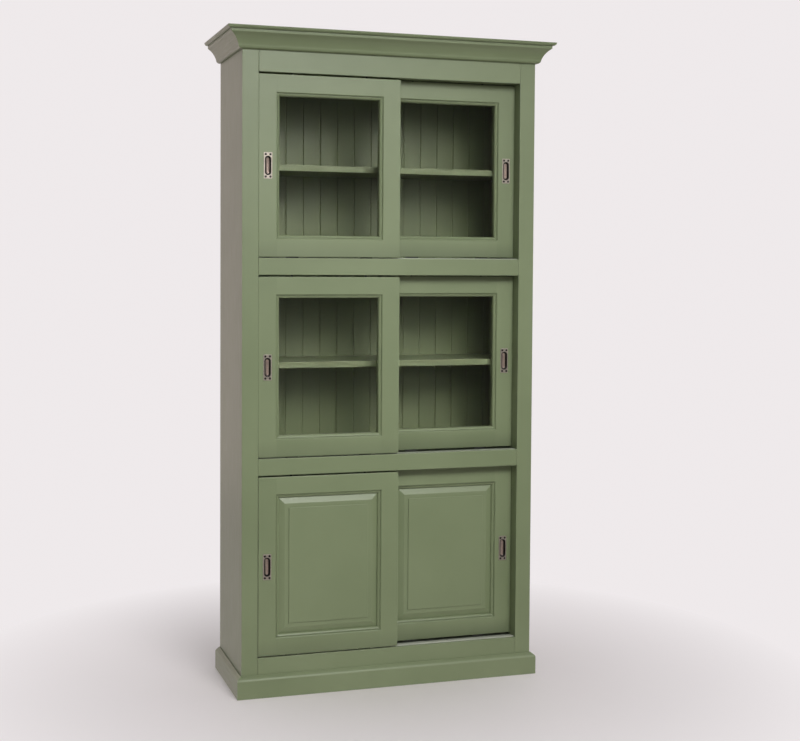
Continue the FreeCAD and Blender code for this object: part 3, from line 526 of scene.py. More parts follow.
def raised_panel(node):
    low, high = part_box(node)
    mesh = bmesh.new()
    rows = []
    for inset, back in ((0.0, high.y - low.y), *PANEL_STEPS):
        left, right, foot, head = low.x + inset, high.x - inset, low.z + inset, high.z - inset
        rows.append([mesh.verts.new((x, low.y + back, z))
                     for x, z in ((left, foot), (right, foot), (right, head), (left, head))])
    for outer, inner in zip(rows, rows[1:]):
        for corner in range(4):
            after = (corner + 1) % 4
            mesh.faces.new((outer[corner], outer[after], inner[after], inner[corner]))
    mesh.faces.new(rows[0])
    mesh.faces.new(rows[-1])
    bmesh.ops.recalc_face_normals(mesh, faces=mesh.faces)
    field = [edge for edge in mesh.edges if all(vert in rows[-1] for vert in edge.verts)]
    ease_edges(mesh, field, FIELD_EDGE)
    stand_as_board(mesh, node)


for hand in HANDS:
    raised_panel(f"lower_{hand}_door_panel")
print("panels with", len(PANEL_STEPS), "steps")

# %% [markdown]
# ## The moulding around each pane and panel
#
# A small moulding holds the glass or the panel in its rebate: a narrow groove beside the door stile,
# then a rounded bead that runs down to the infill. It is one profile carried around a rectangle and
# mitred at the corners. Curve bevels pinch such a profile at a square corner, so the ring is built
# straight: the profile is set at the four corners, on the mitre, and the copies are joined by faces.

# %% Helper: a profile carried around a rectangle
def ring_around(low, high, front, profile):
    """A closed ring of mitred lengths; the profile holds points inwards from the rectangle and back."""
    mesh = bmesh.new()
    grain = mesh.verts.layers.float_vector.new("grain")
    rings = []
    for x, z, right, up in ((low.x, low.z, 1, 1), (high.x, low.z, -1, 1), (high.x, high.z, -1, -1),
                            (low.x, high.z, 1, -1)):
        rings.append([mesh.verts.new((x + right * across, front + back, z + up * across))
                      for across, back in profile])
    for index, ring in enumerate(rings):
        following = rings[(index + 1) % 4]
        for step, vert in enumerate(ring):
            after = (step + 1) % len(ring)
            mesh.faces.new((vert, ring[after], following[after], following[step]))
            vert[grain] = (0, 0, 1)
    bmesh.ops.recalc_face_normals(mesh, faces=mesh.faces)
    return mesh


def quarter(start, end, steps, first, last):
    """Points of a quarter ellipse that leaves start level and reaches end upright, between two angles."""
    points = []
    for step in range(steps + 1):
        angle = math.radians(first + (last - first) * step / steps)
        points.append((start[0] + (end[0] - start[0]) * math.sin(angle),
                       end[1] + (start[1] - end[1]) * math.cos(angle)))
    return points


print("ring helper ready")

# %% Mouldings, one ring to a door
MOULDING_WIDTH = 0.009
QUIRK_WIDTH = 0.0022
QUIRK_DEPTH = 0.0026
BEAD_SIDE = 0.001
BEAD_START = (-0.004, -0.0005)
BEAD_DROP = 0.0075
BEAD_STEPS = 6
BEAD_ARC = (30, 90)


def moulding_ring(door):
    node = door + "_mouldings"
    low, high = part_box(node)
    depth = high.y - low.y
    profile = [(0, depth), (0, QUIRK_DEPTH), (QUIRK_WIDTH, QUIRK_DEPTH), (QUIRK_WIDTH, BEAD_SIDE),
               *quarter(BEAD_START, (MOULDING_WIDTH, BEAD_DROP), BEAD_STEPS, *BEAD_ARC),
               (MOULDING_WIDTH, depth)]
    piece = finish_mesh(ring_around(low, high, low.y, profile), node + "_ring", sage_paint)
    stand_for(piece, node, slot="painted_wood")


for door in DOORS:
    moulding_ring(door)
print(len(DOORS), "moulding rings")

# %% [markdown]
# ## Door frames with a moulded inner edge
#
# Stiles and rails meet flush under the paint, so no line shows at the joints, and the edge around the
# opening was run with a round cutter before the small moulding went in. A bevel would run on past the
# corners, because the stiles are longer than the opening. So a ring with the waste's own profile is
# cut away with a Boolean modifier, as the cutter did, which leaves clean mitred corners. The
# attribute foot tells the paint how much painted shade the door gets just over the sill. One door has
# been planed a little along its edge, as doors that stick are, and shows a wider gap there.

# %% Helper: cut the waste away
def cut_away(mesh, waste):
    """What is left of a bmesh after a Boolean modifier has taken the waste from it."""
    board, cutter = finish_mesh(mesh, "board"), finish_mesh(waste, "waste")
    modifier = board.modifiers.new("waste", "BOOLEAN")
    modifier.operation = "DIFFERENCE"
    modifier.solver = "EXACT"
    modifier.object = cutter
    result = bpy.data.meshes.new_from_object(board.evaluated_get(bpy.context.evaluated_depsgraph_get()))
    left = bmesh.new()
    left.from_mesh(result)
    bpy.data.meshes.remove(result)
    for helper in (board, cutter):
        data = helper.data
        bpy.data.objects.remove(helper)
        bpy.data.meshes.remove(data)
    return left


print("cutter ready")

# %% Cut the inner edge and ease the outside
INNER_ROUND_WIDTH = 0.0042
INNER_ROUND_DEPTH = 0.005
INNER_ROUND_STEPS = 5
INNER_ROUND_ARC = (12, 84)
CUTTER_MARGIN = 0.002
DOOR_ARRIS = 0.0012
CREASE = math.radians(40)
# how much painted shade each door gets at its foot, more on the recessed rear doors
FOOT_SHADE = {"left": 0.22, "right": 0.36}
PLANED_LEFT = {"lower_left_door": 0.0012}


def creased(edge):
    return edge.is_manifold and edge.is_convex and edge.calc_face_angle() > CREASE


def door_frame(door, hand):
    node = door + "_frame"
    low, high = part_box(door + "_mouldings")
    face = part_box(node)[0].y
    round_edge = quarter((-INNER_ROUND_WIDTH, 0), (0, INNER_ROUND_DEPTH), INNER_ROUND_STEPS, *INNER_ROUND_ARC)
    profile = [(CUTTER_MARGIN, -CUTTER_MARGIN), (CUTTER_MARGIN, INNER_ROUND_DEPTH), *reversed(round_edge)]
    profile.append((profile[-1][0], -CUTTER_MARGIN))
    mesh = cut_away(welded(node), ring_around(low, high, face, profile))
    frame_low, frame_high = limits(mesh.verts)
    edges = [edge for edge in mesh.edges if creased(edge) and sides_of(edge, frame_low, frame_high) > 1]
    for vert in mesh.verts:
        if abs(vert.co.x - frame_low.x) < WELD:
            vert.co.x += PLANED_LEFT.get(door, 0)
    ease_edges(mesh, edges, DOOR_ARRIS)
    foot = mesh.verts.layers.float.new("foot")
    for vert in mesh.verts:
        vert[foot] = FOOT_SHADE[hand]
    stand_as_board(mesh, node)
    return len(edges)


eased = [door_frame(f"{tier}_{hand}_door", hand) for tier in TIERS for hand in HANDS]
print("door frames with", eased, "eased edges")

# %% [markdown]
# ## The boarded back
#
# Behind the glass the back is a row of tongued boards whose front edges are chamfered, so that two
# neighbours make a V. Boards that repeat at one pitch are what Geometry Nodes are for. The tree
# starts from a cube with two cuts across its width, pushes the outer front edges back to make the
# chamfers, sets the board on every point of a line, and gives each copy its own number. The narrow
# boards at the two sides come from the same tree with another width and a count of one.

# %% Geometry Nodes: one chamfered board
OUTER_FROM = 0.9


def vector_from(tree, x=0.0, y=0.0, z=0.0):
    return add_node(tree, "ShaderNodeCombineXYZ", {0: x, 1: y, 2: z}).outputs[0]


boards_tree, boards_in, boards_out = open_group(
    "boards_in_a_row", "GeometryNodeTree",
    [("Count", "NodeSocketInt", 1), ("First", "NodeSocketVector", (0, 0, 0)),
     ("Pitch", "NodeSocketFloat", 0.06), ("Width", "NodeSocketFloat", 0.06),
     ("Thickness", "NodeSocketFloat", 0.012), ("Height", "NodeSocketFloat", 2.0),
     ("Chamfer", "NodeSocketFloat", 0.0025), ("Material", "NodeSocketMaterial", None)],
    [("Boards", "NodeSocketGeometry")])
size = vector_from(boards_tree, boards_in["Width"], boards_in["Thickness"], boards_in["Height"])
plank = add_node(boards_tree, "GeometryNodeMeshCube",
                 {"Size": size, "Vertices X": 4, "Vertices Y": 2, "Vertices Z": 2}).outputs["Mesh"]
here = axes_of(boards_tree, add_node(boards_tree, "GeometryNodeInputPosition").outputs[0])
half_width = math_node(boards_tree, "MULTIPLY", boards_in["Width"], 0.5)
near_edge = math_node(boards_tree, "MULTIPLY", half_width, OUTER_FROM)
outer = math_node(boards_tree, "GREATER_THAN", math_node(boards_tree, "ABSOLUTE", here[0]), near_edge)
inner = math_node(boards_tree, "SUBTRACT", 1.0, outer)
fronting = math_node(boards_tree, "LESS_THAN", here[1], 0.0)
shoulder = math_node(boards_tree, "SUBTRACT", half_width, boards_in["Chamfer"])
inner_x = math_node(boards_tree, "MULTIPLY", math_node(boards_tree, "SIGN", here[0]), shoulder)
move_x = math_node(boards_tree, "MULTIPLY", inner, math_node(boards_tree, "SUBTRACT", inner_x, here[0]))
outer_front = math_node(boards_tree, "MULTIPLY", outer, fronting)
move_y = math_node(boards_tree, "MULTIPLY", outer_front, boards_in["Chamfer"])
chamfered = add_node(boards_tree, "GeometryNodeSetPosition",
                     {"Geometry": plank, "Offset": vector_from(boards_tree, move_x, move_y)}).outputs[0]
print("one board takes", len(boards_tree.nodes), "nodes")

# %% Geometry Nodes: boards in a row
def in_a_row(tree, inputs, pitch, piece, **more):
    """Copies of a piece on the points of a line along X."""
    line = add_node(tree, "GeometryNodeMeshLine", {
        "Count": inputs["Count"], "Start Location": inputs["First"], "Offset": vector_from(tree, pitch)})
    sockets = {"Points": line.outputs[0], "Instance": piece, **more}
    return add_node(tree, "GeometryNodeInstanceOnPoints", sockets).outputs[0]


def stored(tree, geometry, name, value, **settings):
    sockets = {"Geometry": geometry, "Name": name, "Value": value}
    return add_node(tree, "GeometryNodeStoreNamedAttribute", sockets, **settings).outputs[0]


def realized(tree, geometry):
    return add_node(tree, "GeometryNodeRealizeInstances", {"Geometry": geometry}).outputs[0]


def with_material(tree, geometry, material):
    sockets = {"Geometry": geometry, "Material": material}
    return add_node(tree, "GeometryNodeSetMaterial", sockets).outputs[0]


copies = in_a_row(boards_tree, boards_in, boards_in["Pitch"], chamfered)
number = add_node(boards_tree, "GeometryNodeInputIndex").outputs[0]
numbered = stored(boards_tree, copies, "board", number, data_type="FLOAT", domain="INSTANCE")
real = realized(boards_tree, numbered)
grained = stored(boards_tree, real, "grain", (0, 0, 1), data_type="FLOAT_VECTOR", domain="POINT")
boards_tree.links.new(with_material(boards_tree, grained, boards_in["Material"]), boards_out["Boards"])
print("tree", boards_tree.name, "with", len(boards_tree.nodes), "nodes")

# %% Helpers: bake a geometry tree to a plain mesh
def baked(tree, name, **inputs):
    """The mesh that a geometry tree makes from the given inputs."""
    holder = put_in_scene(bpy.data.objects.new(name, bpy.data.meshes.new(name)))
    modifier = holder.modifiers.new(name, "NODES")
    modifier.node_group = tree
    for item in tree.interface.items_tree:
        if item.in_out == "INPUT" and item.name in inputs:
            modifier[item.identifier] = inputs[item.name]
    mesh = bpy.data.meshes.new_from_object(holder.evaluated_get(bpy.context.evaluated_depsgraph_get()))
    blank = holder.data
    bpy.data.objects.remove(holder)
    bpy.data.meshes.remove(blank)
    return mesh


def piece_from(meshes, name):
    """One object from several meshes with the same material."""
    joined = bmesh.new()
    for mesh in meshes:
        joined.from_mesh(mesh)
    material = [material for material in meshes[0].materials if material][0]
    for face in joined.faces:
        face.material_index = 0
    for mesh in meshes:
        bpy.data.meshes.remove(mesh)
    return finish_mesh(joined, name, material)


print("baking helpers ready")

# %% The back, in three runs of boards
BOARD_PITCH = 0.06
FULL_BOARDS = 15
BOARD_CHAMFER = 0.0025
NAIL_PROUD = 0.0003
FIRST_BOARD = -(FULL_BOARDS - 1) / 2 * BOARD_PITCH
back_low, back_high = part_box("back_boards")
edge_width = (back_high.x - back_low.x - FULL_BOARDS * BOARD_PITCH) / 2
thickness = back_high.y - back_low.y - NAIL_PROUD
middle_y = back_low.y + thickness / 2
middle_z = (back_low.z + back_high.z) / 2

runs = []
for first_x, count, width in ((back_low.x + edge_width / 2, 1, edge_width),
                              (FIRST_BOARD, FULL_BOARDS, BOARD_PITCH),
                              (back_high.x - edge_width / 2, 1, edge_width)):
    runs.append(baked(boards_tree, "boards", Count=count, First=(first_x, middle_y, middle_z),
                      Pitch=BOARD_PITCH, Width=width, Thickness=thickness, Height=back_high.z - back_low.z,
                      Chamfer=BOARD_CHAMFER, Material=sage_paint))
stand_for(piece_from(runs, "back_boards_row"), "back_boards", slot="painted_wood")
print("back:", FULL_BOARDS, "boards and two of", round(edge_width * 1000), "mm")

# %% [markdown]
# ## Nails and screws
#
# The back is nailed to the four decks, two nails to a board, and each track is held by five screws.
# They are all small round heads in a row, so one geometry tree makes both: a low cone for the head,
# a cross cut into it where it is a screw, and a copy on every point of a line. The steel is dull
# and a little mottled.

# %% Geometry Nodes: one head, plain or with a cross
HEAD_SIDES = 14
HEAD_TAPER = 0.8
CUT_LENGTH = 1.1
CUT_DEPTH = 0.8
heads_tree, heads_in, heads_out = open_group(
    "heads_in_a_row", "GeometryNodeTree",
    [("Count", "NodeSocketInt", 1), ("First", "NodeSocketVector", (0, 0, 0)),
     ("Step", "NodeSocketFloat", 0.06), ("Radius", "NodeSocketFloat", 0.002),
     ("Proud", "NodeSocketFloat", 0.0003), ("Sunk", "NodeSocketFloat", 0.001),
     ("Cross", "NodeSocketFloat", 0.0), ("Tilt", "NodeSocketFloat", 0.0),
     ("Material", "NodeSocketMaterial", None)],
    [("Heads", "NodeSocketGeometry")])


def moved(tree, geometry, place):
    sockets = {"Geometry": geometry, "Translation": place}
    return add_node(tree, "GeometryNodeTransform", sockets).outputs[0]


head_depth = math_node(heads_tree, "ADD", heads_in["Proud"], heads_in["Sunk"])
top_radius = math_node(heads_tree, "MULTIPLY", heads_in["Radius"], HEAD_TAPER)
head = add_node(heads_tree, "GeometryNodeMeshCone",
                {"Vertices": HEAD_SIDES, "Radius Top": top_radius, "Radius Bottom": heads_in["Radius"],
                 "Depth": head_depth}).outputs["Mesh"]
drop = vector_from(heads_tree, z=math_node(heads_tree, "MULTIPLY", heads_in["Sunk"], -1.0))
plain = moved(heads_tree, head, drop)
crossed = add_node(heads_tree, "GeometryNodeMeshBoolean", {"Mesh 1": plain}, operation="DIFFERENCE",
                   solver="EXACT")
cut_length = math_node(heads_tree, "MULTIPLY", heads_in["Radius"], CUT_LENGTH)
cut_depth = math_node(heads_tree, "MULTIPLY", head_depth, CUT_DEPTH)
for across, along in ((cut_length, heads_in["Cross"]), (heads_in["Cross"], cut_length)):
    size = vector_from(heads_tree, across, along, cut_depth)
    bar = add_node(heads_tree, "GeometryNodeMeshCube", {"Size": size}).outputs["Mesh"]
    raised = moved(heads_tree, bar, vector_from(heads_tree, z=heads_in["Proud"]))
    heads_tree.links.new(raised, crossed.inputs["Mesh 2"])
print("one head takes", len(heads_tree.nodes), "nodes")

# %% Geometry Nodes: heads in a row
is_screw = add_node(heads_tree, "FunctionNodeCompare", {0: heads_in["Cross"], 1: 0.0},
                    operation="GREATER_THAN").outputs[0]
chosen = add_node(heads_tree, "GeometryNodeSwitch", {"Switch": is_screw, "False": plain,
                                                     "True": crossed.outputs[0]}, input_type="GEOMETRY")
copies = in_a_row(heads_tree, heads_in, heads_in["Step"], chosen.outputs[0],
                  Rotation=vector_from(heads_tree, heads_in["Tilt"]))
plated = with_material(heads_tree, realized(heads_tree, copies), heads_in["Material"])
heads_tree.links.new(plated, heads_out["Heads"])
print("tree", heads_tree.name, "with", len(heads_tree.nodes), "nodes")

# %% Material: dull steel
# painted shadow: the dark the tracks turn under the rear doors
PAINTED_SHADOW = (0.06, 0.07, 0.045, 1)
EVEN = (1, 1, 1)


def speckled(name, pale, dark, scale, stretch, roughness, metallic, depth, shaded_from=None):
    """A finish with one noise for its colour, its roughness and a low bump; painted shade behind a line in Y.
    """
    material, tree, shader = new_material(name, Metallic=metallic)
    point = object_point(tree)
    mapped = add_node(tree, "ShaderNodeMapping", {"Vector": point, "Scale": stretch}).outputs[0]
    speckle = noise(tree, mapped, scale)
    colour = mixed_colour(tree, ranged(tree, speckle, 0.0, 1.0), dark, pale)
    if shaded_from:
        inwards = axes_of(tree, point)[1]
        colour = mixed_colour(tree, ranged(tree, inwards, 0.0, 1.0, *shaded_from), colour, PAINTED_SHADOW)
    tree.links.new(colour, shader.inputs["Base Color"])
    tree.links.new(ranged(tree, speckle, *roughness), shader.inputs["Roughness"])
    bump(tree, shader, speckle, depth)
    return material


dull_steel = speckled("dull_steel", pale=(0.40, 0.39, 0.37, 1), dark=(0.24, 0.23, 0.22, 1), scale=700,
                      stretch=EVEN, roughness=(0.38, 0.55), metallic=1.0, depth=0.00002)
print("material", dull_steel.name)

# %% Nails in the back
NAIL_RADIUS = 0.0022
NAIL_OFF_MIDDLE = 0.018
NAIL_SUNK = 0.002
NAILED_DECKS = ("bottom_panel", "divider_lower", "divider_upper", "top_panel")
FACING_BACK = -math.pi / 2

nail_rows = []
for deck in NAILED_DECKS:
    deck_low, deck_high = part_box(deck)
    nail_z = (deck_low.z + deck_high.z) / 2
    for side in (-1, 1):
        full_x = FIRST_BOARD + side * NAIL_OFF_MIDDLE
        edge_x = side * (back_high.x - edge_width / 2)
        for start_x, count in ((full_x, FULL_BOARDS), (edge_x, 1)):
            nail_rows.append(baked(heads_tree, "nails", Count=count, Step=BOARD_PITCH, Radius=NAIL_RADIUS,
                                   First=(start_x, back_high.y - NAIL_PROUD, nail_z), Proud=NAIL_PROUD,
                                   Sunk=NAIL_SUNK, Tilt=FACING_BACK, Material=dull_steel))
print(len(nail_rows), "rows of nails")
back_nails = piece_from(nail_rows, "back_nails")
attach(back_nails, body_of_node["back_boards"])

# %% Screws in the tracks
SCREW_RADIUS = 0.0032
SCREW_PROUD = 0.0003
SCREW_SUNK = 0.0009
SCREW_CROSS = 0.0009
SCREWS = 5
SCREW_STEP = 0.21
BETWEEN_RIBS = -0.115
FIRST_SCREW = -(SCREWS - 1) / 2 * SCREW_STEP
SILL_RAILS = ("bottom", "lower", "upper")

screw_rows = []
for rail in SILL_RAILS:
    plate_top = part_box("face_rail_" + rail)[1].z
    screw_rows.append(baked(heads_tree, "screws", Count=SCREWS, First=(FIRST_SCREW, BETWEEN_RIBS, plate_top),
                            Step=SCREW_STEP, Radius=SCREW_RADIUS, Proud=SCREW_PROUD, Sunk=SCREW_SUNK,
                            Cross=SCREW_CROSS, Material=dull_steel))
print(len(screw_rows), "rows of screws")
track_screws = piece_from(screw_rows, "track_screws")
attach(track_screws, body_of_node["door_track_lower"])

# %% [markdown]
# ## Clear glass
#
# The panes are plain float glass, four millimetres thick. A thin pane needs real thickness in the
# mesh and an index of refraction of about 1.5, and then the shader mirrors a little of what stands
# in front by itself. Bent rays seldom find a lamp, which would leave the shelves behind the panes in
# the dark. So rays from the lamps meet a Transparent shader instead, grey for what real glass keeps
# back and darker still, which paints extra shade on the inside, and they reach the inside.

# %% Material: clear glass
GLASS_TINT = (0.97, 0.97, 0.95, 1)
# darker than real glass: this paints extra shade inside the cupboard
LET_THROUGH = (0.66, 0.645, 0.62, 1)


def dress(ending, material):
    """Gives one finish to every CAD node whose name ends this way."""
    dressed = [node for node in nodes if node.endswith(ending)]
    for node in dressed:
        nodes[node].data.materials.clear()
        nodes[node].data.materials.append(material)
    print(material.name, "on", len(dressed), "nodes")


clear_glass, tree, shader = new_material("clear_glass", IOR=1.5, Roughness=0.0, Transmission_Weight=1.0,
                                         Base_Color=GLASS_TINT)
from_lamp = add_node(tree, "ShaderNodeLightPath").outputs["Is Shadow Ray"]
open_to_lamps = add_node(tree, "ShaderNodeBsdfTransparent", {"Color": LET_THROUGH}).outputs[0]
lit_pane = add_node(tree, "ShaderNodeMixShader", {0: from_lamp, 1: shader.outputs[0], 2: open_to_lamps})
tree.links.new(lit_pane.outputs[0], tree.nodes["Material Output"].inputs["Surface"])
dress("_glass", clear_glass)

# %% [markdown]
# ## Flush pulls in aged metal
#
# Each door has a small flush pull: a thin plate with a long finger trough and four round pins. The
# plate is silvery metal with a patchy tarnish. The wall of the trough carries painted shade, nearly
# black, its floor a painted reflection paler than the plate, and the pins are dark. The CAD solid has
# a flat floor. The copy gets softer edges, a dish for the finger, made of rings that shrink towards the
# middle line, and an attribute that holds the middle of its pull. From that the shader works out how
# far a point lies from the rim of the trough and from the nearest pin, and darkens both: the pins in
# their own dark, the rim with painted shade. The rim is worn rounder than the outside of the plate.

# %% Distances on a pull, worked out in the shader
TROUGH_RADIUS = 0.0085
TROUGH_STRAIGHT = 0.020
PIN_ACROSS = 0.0074
PIN_ALONG = 0.0347
aged_metal, tree, shader = new_material("aged_metal", Metallic=0.65)


def length_of(tree, across, along):
    return vector_node(tree, "LENGTH", vector_from(tree, across, along), output="Value")


point = object_point(tree)
from_middle = vector_node(tree, "SUBTRACT", point, attribute(tree, "middle")["Vector"])
apart = axes_of(tree, vector_node(tree, "ABSOLUTE", from_middle))
past_straight = math_node(tree, "MAXIMUM", math_node(tree, "SUBTRACT", apart[2], TROUGH_STRAIGHT), 0.0)
to_rim = math_node(tree, "SUBTRACT", length_of(tree, apart[0], past_straight), TROUGH_RADIUS)
to_pin = length_of(tree, math_node(tree, "SUBTRACT", apart[0], PIN_ACROSS),
                   math_node(tree, "SUBTRACT", apart[2], PIN_ALONG))
print("trough", 2000 * TROUGH_RADIUS, "by", 2000 * (TROUGH_RADIUS + TROUGH_STRAIGHT), "mm")

# %% Material: aged metal
METAL_PALE = (0.55, 0.49, 0.415, 1)
METAL_DARK = (0.014, 0.010, 0.009, 1)
# painted reflection: the floor of the trough is paler than the plate
METAL_FLOOR = (0.72, 0.60, 0.53, 1)
METAL_ROUGHNESS = (0.30, 0.44)
RING_INSIDE = (-0.0040, -0.0028)
RING_OUTSIDE = (0.0014, 0.0022)
PIN_STAIN = (0.0032, 0.0040)
FLOOR_TO_PLATE = (-0.001, 0.001)
TARNISH_SCALE = 260.0
TARNISH_MOST = 0.4
TARNISH_DEPTH = 0.00008

# painted shade: the wall and rim of the trough turn nearly black; the pins take their own dark
ring = math_node(tree, "MULTIPLY", ranged(tree, to_rim, 0.0, 1.0, *RING_INSIDE),
                 ranged(tree, to_rim, 1.0, 0.0, *RING_OUTSIDE))
dark = math_node(tree, "MAXIMUM", ring, ranged(tree, to_pin, 1.0, 0.0, *PIN_STAIN))
# painted reflection: the floor of the trough takes the paler colour
bare = mixed_colour(tree, ranged(tree, to_rim, 0.0, 1.0, *FLOOR_TO_PLATE), METAL_FLOOR, METAL_PALE)
tarnish = noise(tree, point, TARNISH_SCALE, detail=4.0, roughness=0.65)
stained = mixed_colour(tree, ranged(tree, tarnish, 0.0, TARNISH_MOST), bare, METAL_DARK)
tree.links.new(mixed_colour(tree, dark, stained, METAL_DARK), shader.inputs["Base Color"])
tree.links.new(ranged(tree, tarnish, *METAL_ROUGHNESS), shader.inputs["Roughness"])
bump(tree, shader, tarnish, TARNISH_DEPTH)
print("material", aged_metal.name)

# %% Dish the floor of a trough
TROUGH_HALF = (0.0098, 0.0298)
DISH_RISE = 0.0048
DISH_RINGS = 6
FACING_FRONT = -0.9


def in_trough(vert, middle):
    return abs(vert.co.x - middle.x) < TROUGH_HALF[0] and abs(vert.co.z - middle.z) < TROUGH_HALF[1]


def dish_floor(mesh, middle):
    """Turns the flat floor of the trough into a dish that is no deeper than it was."""
    flat = [face for face in mesh.faces
            if face.normal.y < FACING_FRONT and all(in_trough(vert, middle) for vert in face.verts)]
    floor = max(flat, key=lambda face: face.calc_center_median().y)
    rim = list(floor.verts)
    centres = []
    for vert in rim:
        along = max(-TROUGH_STRAIGHT, min(TROUGH_STRAIGHT, vert.co.z - middle.z))
        centres.append(Vector((middle.x, vert.co.y, middle.z + along)))
    arms = [vert.co - centre for vert, centre in zip(rim, centres)]
    bmesh.ops.delete(mesh, geom=[floor], context="FACES_ONLY")
    outer = rim
    for ring in range(1, DISH_RINGS + 1):
        share = 1 - ring / DISH_RINGS
        rise = Vector((0, -DISH_RISE * share ** 2, 0))
        inner = [mesh.verts.new(centre + arm * share + rise) for centre, arm in zip(centres, arms)]
        for corner in range(len(rim)):
            after = (corner + 1) % len(rim)
            mesh.faces.new((outer[corner], outer[after], inner[after], inner[corner]))
        outer = inner
    for vert in rim:
        vert.co.y -= DISH_RISE
    bmesh.ops.remove_doubles(mesh, verts=outer, dist=WELD)


print("dish of", DISH_RINGS, "rings")

# %% Pulls with softened edges
PLATE_EDGE = 0.0004
TROUGH_EDGE = 0.0012


def aged_pull(door):
    node = door + "_pull"
    mesh = welded(node)
    middle = sum(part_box(node), Vector()) / 2
    dish_floor(mesh, middle)
    rim, outside = [], []
    for island in islands(mesh):
        front = limits(island)[0].y
        own = {edge for vert in island for edge in vert.link_edges}
        for edge in mesh.edges:
            if edge in own and creased(edge) and all(abs(vert.co.y - front) < WELD for vert in edge.verts):
                (rim if all(in_trough(vert, middle) for vert in edge.verts) else outside).append(edge)
    ease_edges(mesh, outside, PLATE_EDGE)
    ease_edges(mesh, rim, TROUGH_EDGE)
    centre = mesh.verts.layers.float_vector.new("middle")
    for vert in mesh.verts:
        vert[centre] = middle
    stand_for(finish_mesh(mesh, node + "_aged", aged_metal), node, slot="aged_pewter")
    return len(rim)


print("pulls with", [aged_pull(door) for door in DOORS], "edges around the trough")

# %% [markdown]
# ## Running gear and pegs
#
# Little of this shows until a door is slid: aluminium tracks on the sills, dark grey nylon shoes and
# guide pins on the doors, and zinc plated pegs under the shelves. The solids are right as they are.
# Drawn aluminium has fine lines along its length, moulded nylon is faintly cloudy, and zinc has a soft
# mottling, so each finish is one noise at the right scale. The lowest track is a paler, lit copy of the
# aluminium and the upper two a darker, shaded copy, painted light and shade, and all three carry a
# painted shadow under the rear doors.

# %% Materials: aluminium, nylon, zinc
# painted shadow on the tracks behind this line in Y, under the rear doors
UNDER_REAR_DOOR = (-0.1135, -0.1085)
DRAWN = {"scale": 900, "stretch": (0.01, 1, 1), "roughness": (0.42, 0.55), "depth": 0.00003,
         "shaded_from": UNDER_REAR_DOOR}

# painted light and shade: a paler, lit copy of the aluminium for the lowest track, a darker, shaded one above
lit_aluminium = speckled("lit_aluminium", pale=(0.60, 0.62, 0.54, 1), dark=(0.48, 0.50, 0.43, 1),
                           metallic=0.3, **DRAWN)
shaded_aluminium = speckled("shaded_aluminium", pale=(0.36, 0.39, 0.31, 1), dark=(0.27, 0.30, 0.23, 1),
                          metallic=0.4, **DRAWN)
grey_nylon = speckled("grey_nylon", pale=(0.070, 0.072, 0.068, 1), dark=(0.048, 0.050, 0.047, 1), scale=90,
                      stretch=EVEN, roughness=(0.4, 0.5), metallic=0.0, depth=0.00003)
zinc = speckled("zinc", pale=(0.62, 0.63, 0.65, 1), dark=(0.42, 0.43, 0.45, 1), scale=320,
                stretch=EVEN, roughness=(0.3, 0.45), metallic=1.0, depth=0.00002)
dress("door_track_lower", lit_aluminium)
dress("door_track_middle", shaded_aluminium)
dress("door_track_upper", shaded_aluminium)
dress("_runners", grey_nylon)
dress("shelf_pegs", zinc)

# %% [markdown]
# ## The studio
#
# A pale floor, an even pale world and three soft lamps: one in front, higher than the cornice, with a
# narrow beam, a stronger one close behind it that shines all round, and a faint warm one at the back
# on the left. The world looks brighter to the camera and in mirrored or see-through rays than it does
# as a lamp, so the background stays pale without washing the paint out. Only what the doors mirror,
# the space in front of the cupboard, is dim, because panes look dark when they face a dim space. Far
# from the cupboard the floor turns into the background, so no line shows where it ends, and near it
# the floor is plain paint that keeps the shadow.

# %% A floor that fades into the background
FLOOR_HALF = 14.0
FLOOR_DROP = 0.0005
FLOOR_DEEP = (0.93, 0.87, 0.875, 1)
FLOOR_PALE = (0.96, 0.90, 0.905, 1)
BACKGROUND = (0.86, 0.82, 0.83, 1)
MIRRORED = (0.86, 0.75, 0.75, 1)
MIRRORED_FRONT = 0.06
FADE_START = 0.25
FADE_END = 1.5
DIM_FROM = -2.0


def glow_colour(tree, path):
    """The colour of what lies far off: one for the camera, one for mirrored and see-through rays."""
    return mixed_colour(tree, path["Is Camera Ray"], MIRRORED, BACKGROUND)


def mirrored_ray(tree, path):
    return math_node(tree, "MAXIMUM", path["Is Glossy Ray"], path["Is Transmission Ray"])


floor_mesh = bmesh.new()
floor_mesh.faces.new([floor_mesh.verts.new((x * FLOOR_HALF, y * FLOOR_HALF, -FLOOR_DROP))
                      for x, y in ((-1, -1), (1, -1), (1, 1), (-1, 1))])
pale_floor, tree, shader = new_material("pale_floor", Roughness=0.6)
point = object_point(tree)
cloud = noise(tree, point, 1.5, detail=4.0)
tree.links.new(mixed_colour(tree, ranged(tree, cloud, 0.0, 1.0), FLOOR_DEEP, FLOOR_PALE),
               shader.inputs["Base Color"])
path = add_node(tree, "ShaderNodeLightPath").outputs
reach = vector_node(tree, "LENGTH", point, output="Value")
fade = ranged(tree, reach, 0.0, 1.0, FADE_START, FADE_END)
mirrored_fade = ranged(tree, reach, 0.0, 1.0, FADE_START / 2, FADE_START * 2)
shown = math_node(tree, "MAXIMUM", math_node(tree, "MULTIPLY", fade, path["Is Camera Ray"]),
                  math_node(tree, "MULTIPLY", mirrored_fade, mirrored_ray(tree, path)))
dimmed = ranged(tree, axes_of(tree, point)[1], MIRRORED_FRONT, 1.0, DIM_FROM, 0.0)
strength = math_node(tree, "MAXIMUM", dimmed, path["Is Camera Ray"])
glow = add_node(tree, "ShaderNodeEmission", {"Color": glow_colour(tree, path), "Strength": strength})
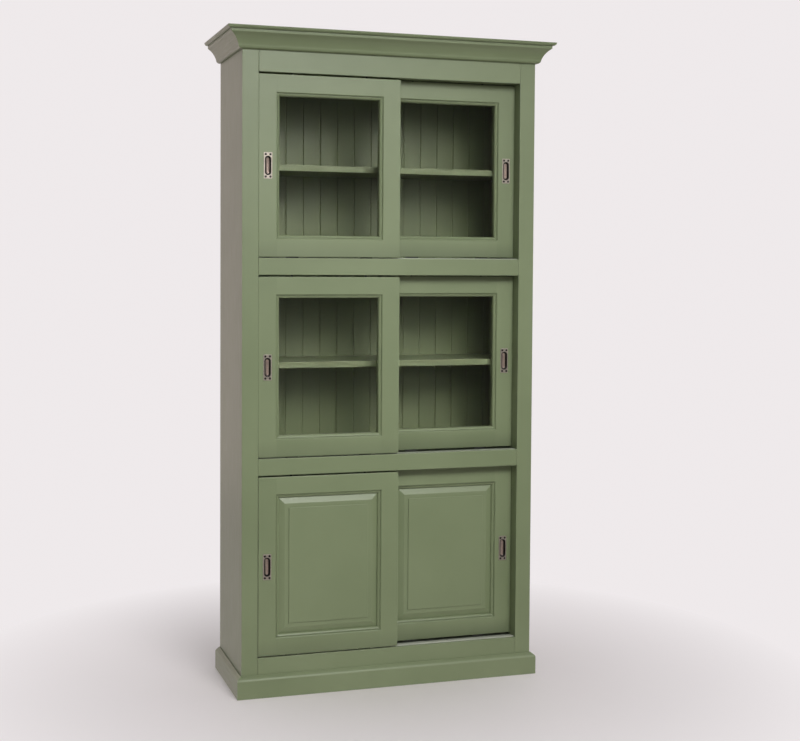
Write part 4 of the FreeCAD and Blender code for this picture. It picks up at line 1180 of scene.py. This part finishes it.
faded = add_node(tree, "ShaderNodeMixShader", {0: shown, 1: shader.outputs[0], 2: glow.outputs[0]})
tree.links.new(faded.outputs[0], tree.nodes["Material Output"].inputs["Surface"])
finish_mesh(floor_mesh, "floor", pale_floor)
print("floor of", 2 * FLOOR_HALF, "m, plain within", FADE_START, "m of the middle")

# %% Lamps
def soft_lamp(name, place, target, size, power, colour=(1, 1, 1), spread=180):
    data = bpy.data.lights.new(name, "AREA")
    data.spread = math.radians(spread)
    data.shape = "RECTANGLE"
    data.size, data.size_y = size
    data.energy = power
    data.color = colour
    lamp = put_in_scene(bpy.data.objects.new(name, data))
    lamp.location = place
    lamp.rotation_euler = (Vector(target) - Vector(place)).to_track_quat("-Z", "Y").to_euler()
    lamp.visible_camera = False


soft_lamp("key", place=(0.4, -3.9, 3.3), target=(-0.15, 0, 0.95), size=(2.0, 1.4), power=9.9, spread=46)
soft_lamp("window", place=(0.3, -4.6, 3.2), target=(0, 0, 1.2), size=(1.3, 1.0), power=46)
soft_lamp("side", place=(-1.6, 4.0, 1.0), target=(-0.45, 0, 0.8), size=(1.6, 3.6), power=7,
          colour=(1.0, 0.74, 0.68))
print(len(bpy.data.lights), "lamps")

# %% World
AMBIENT = 0.27
AMBIENT_COLOUR = (0.96, 0.95, 0.95, 1)
DIM_DIRECTIONS = (-0.5, 0.1)

world = bpy.data.worlds.new("pale_studio")
bpy.context.scene.world = world
world.use_nodes = True
tree = world.node_tree
ambient = tree.nodes["Background"]
ambient.inputs["Color"].default_value = AMBIENT_COLOUR
ambient.inputs["Strength"].default_value = AMBIENT
path = add_node(tree, "ShaderNodeLightPath").outputs
direction = axes_of(tree, add_node(tree, "ShaderNodeTexCoord").outputs["Generated"])
dimmed = ranged(tree, direction[1], MIRRORED_FRONT, 1.0, *DIM_DIRECTIONS)
strength = math_node(tree, "MAXIMUM", dimmed, path["Is Camera Ray"])
seen = add_node(tree, "ShaderNodeBackground", {"Color": glow_colour(tree, path), "Strength": strength})
shown = math_node(tree, "MAXIMUM", path["Is Camera Ray"], mirrored_ray(tree, path))
mix = add_node(tree, "ShaderNodeMixShader", {0: shown, 1: ambient.outputs[0], 2: seen.outputs[0]})
tree.links.new(mix.outputs[0], tree.nodes["World Output"].inputs["Surface"])
bpy.context.scene.view_settings.view_transform = "Standard"
print("studio ready")
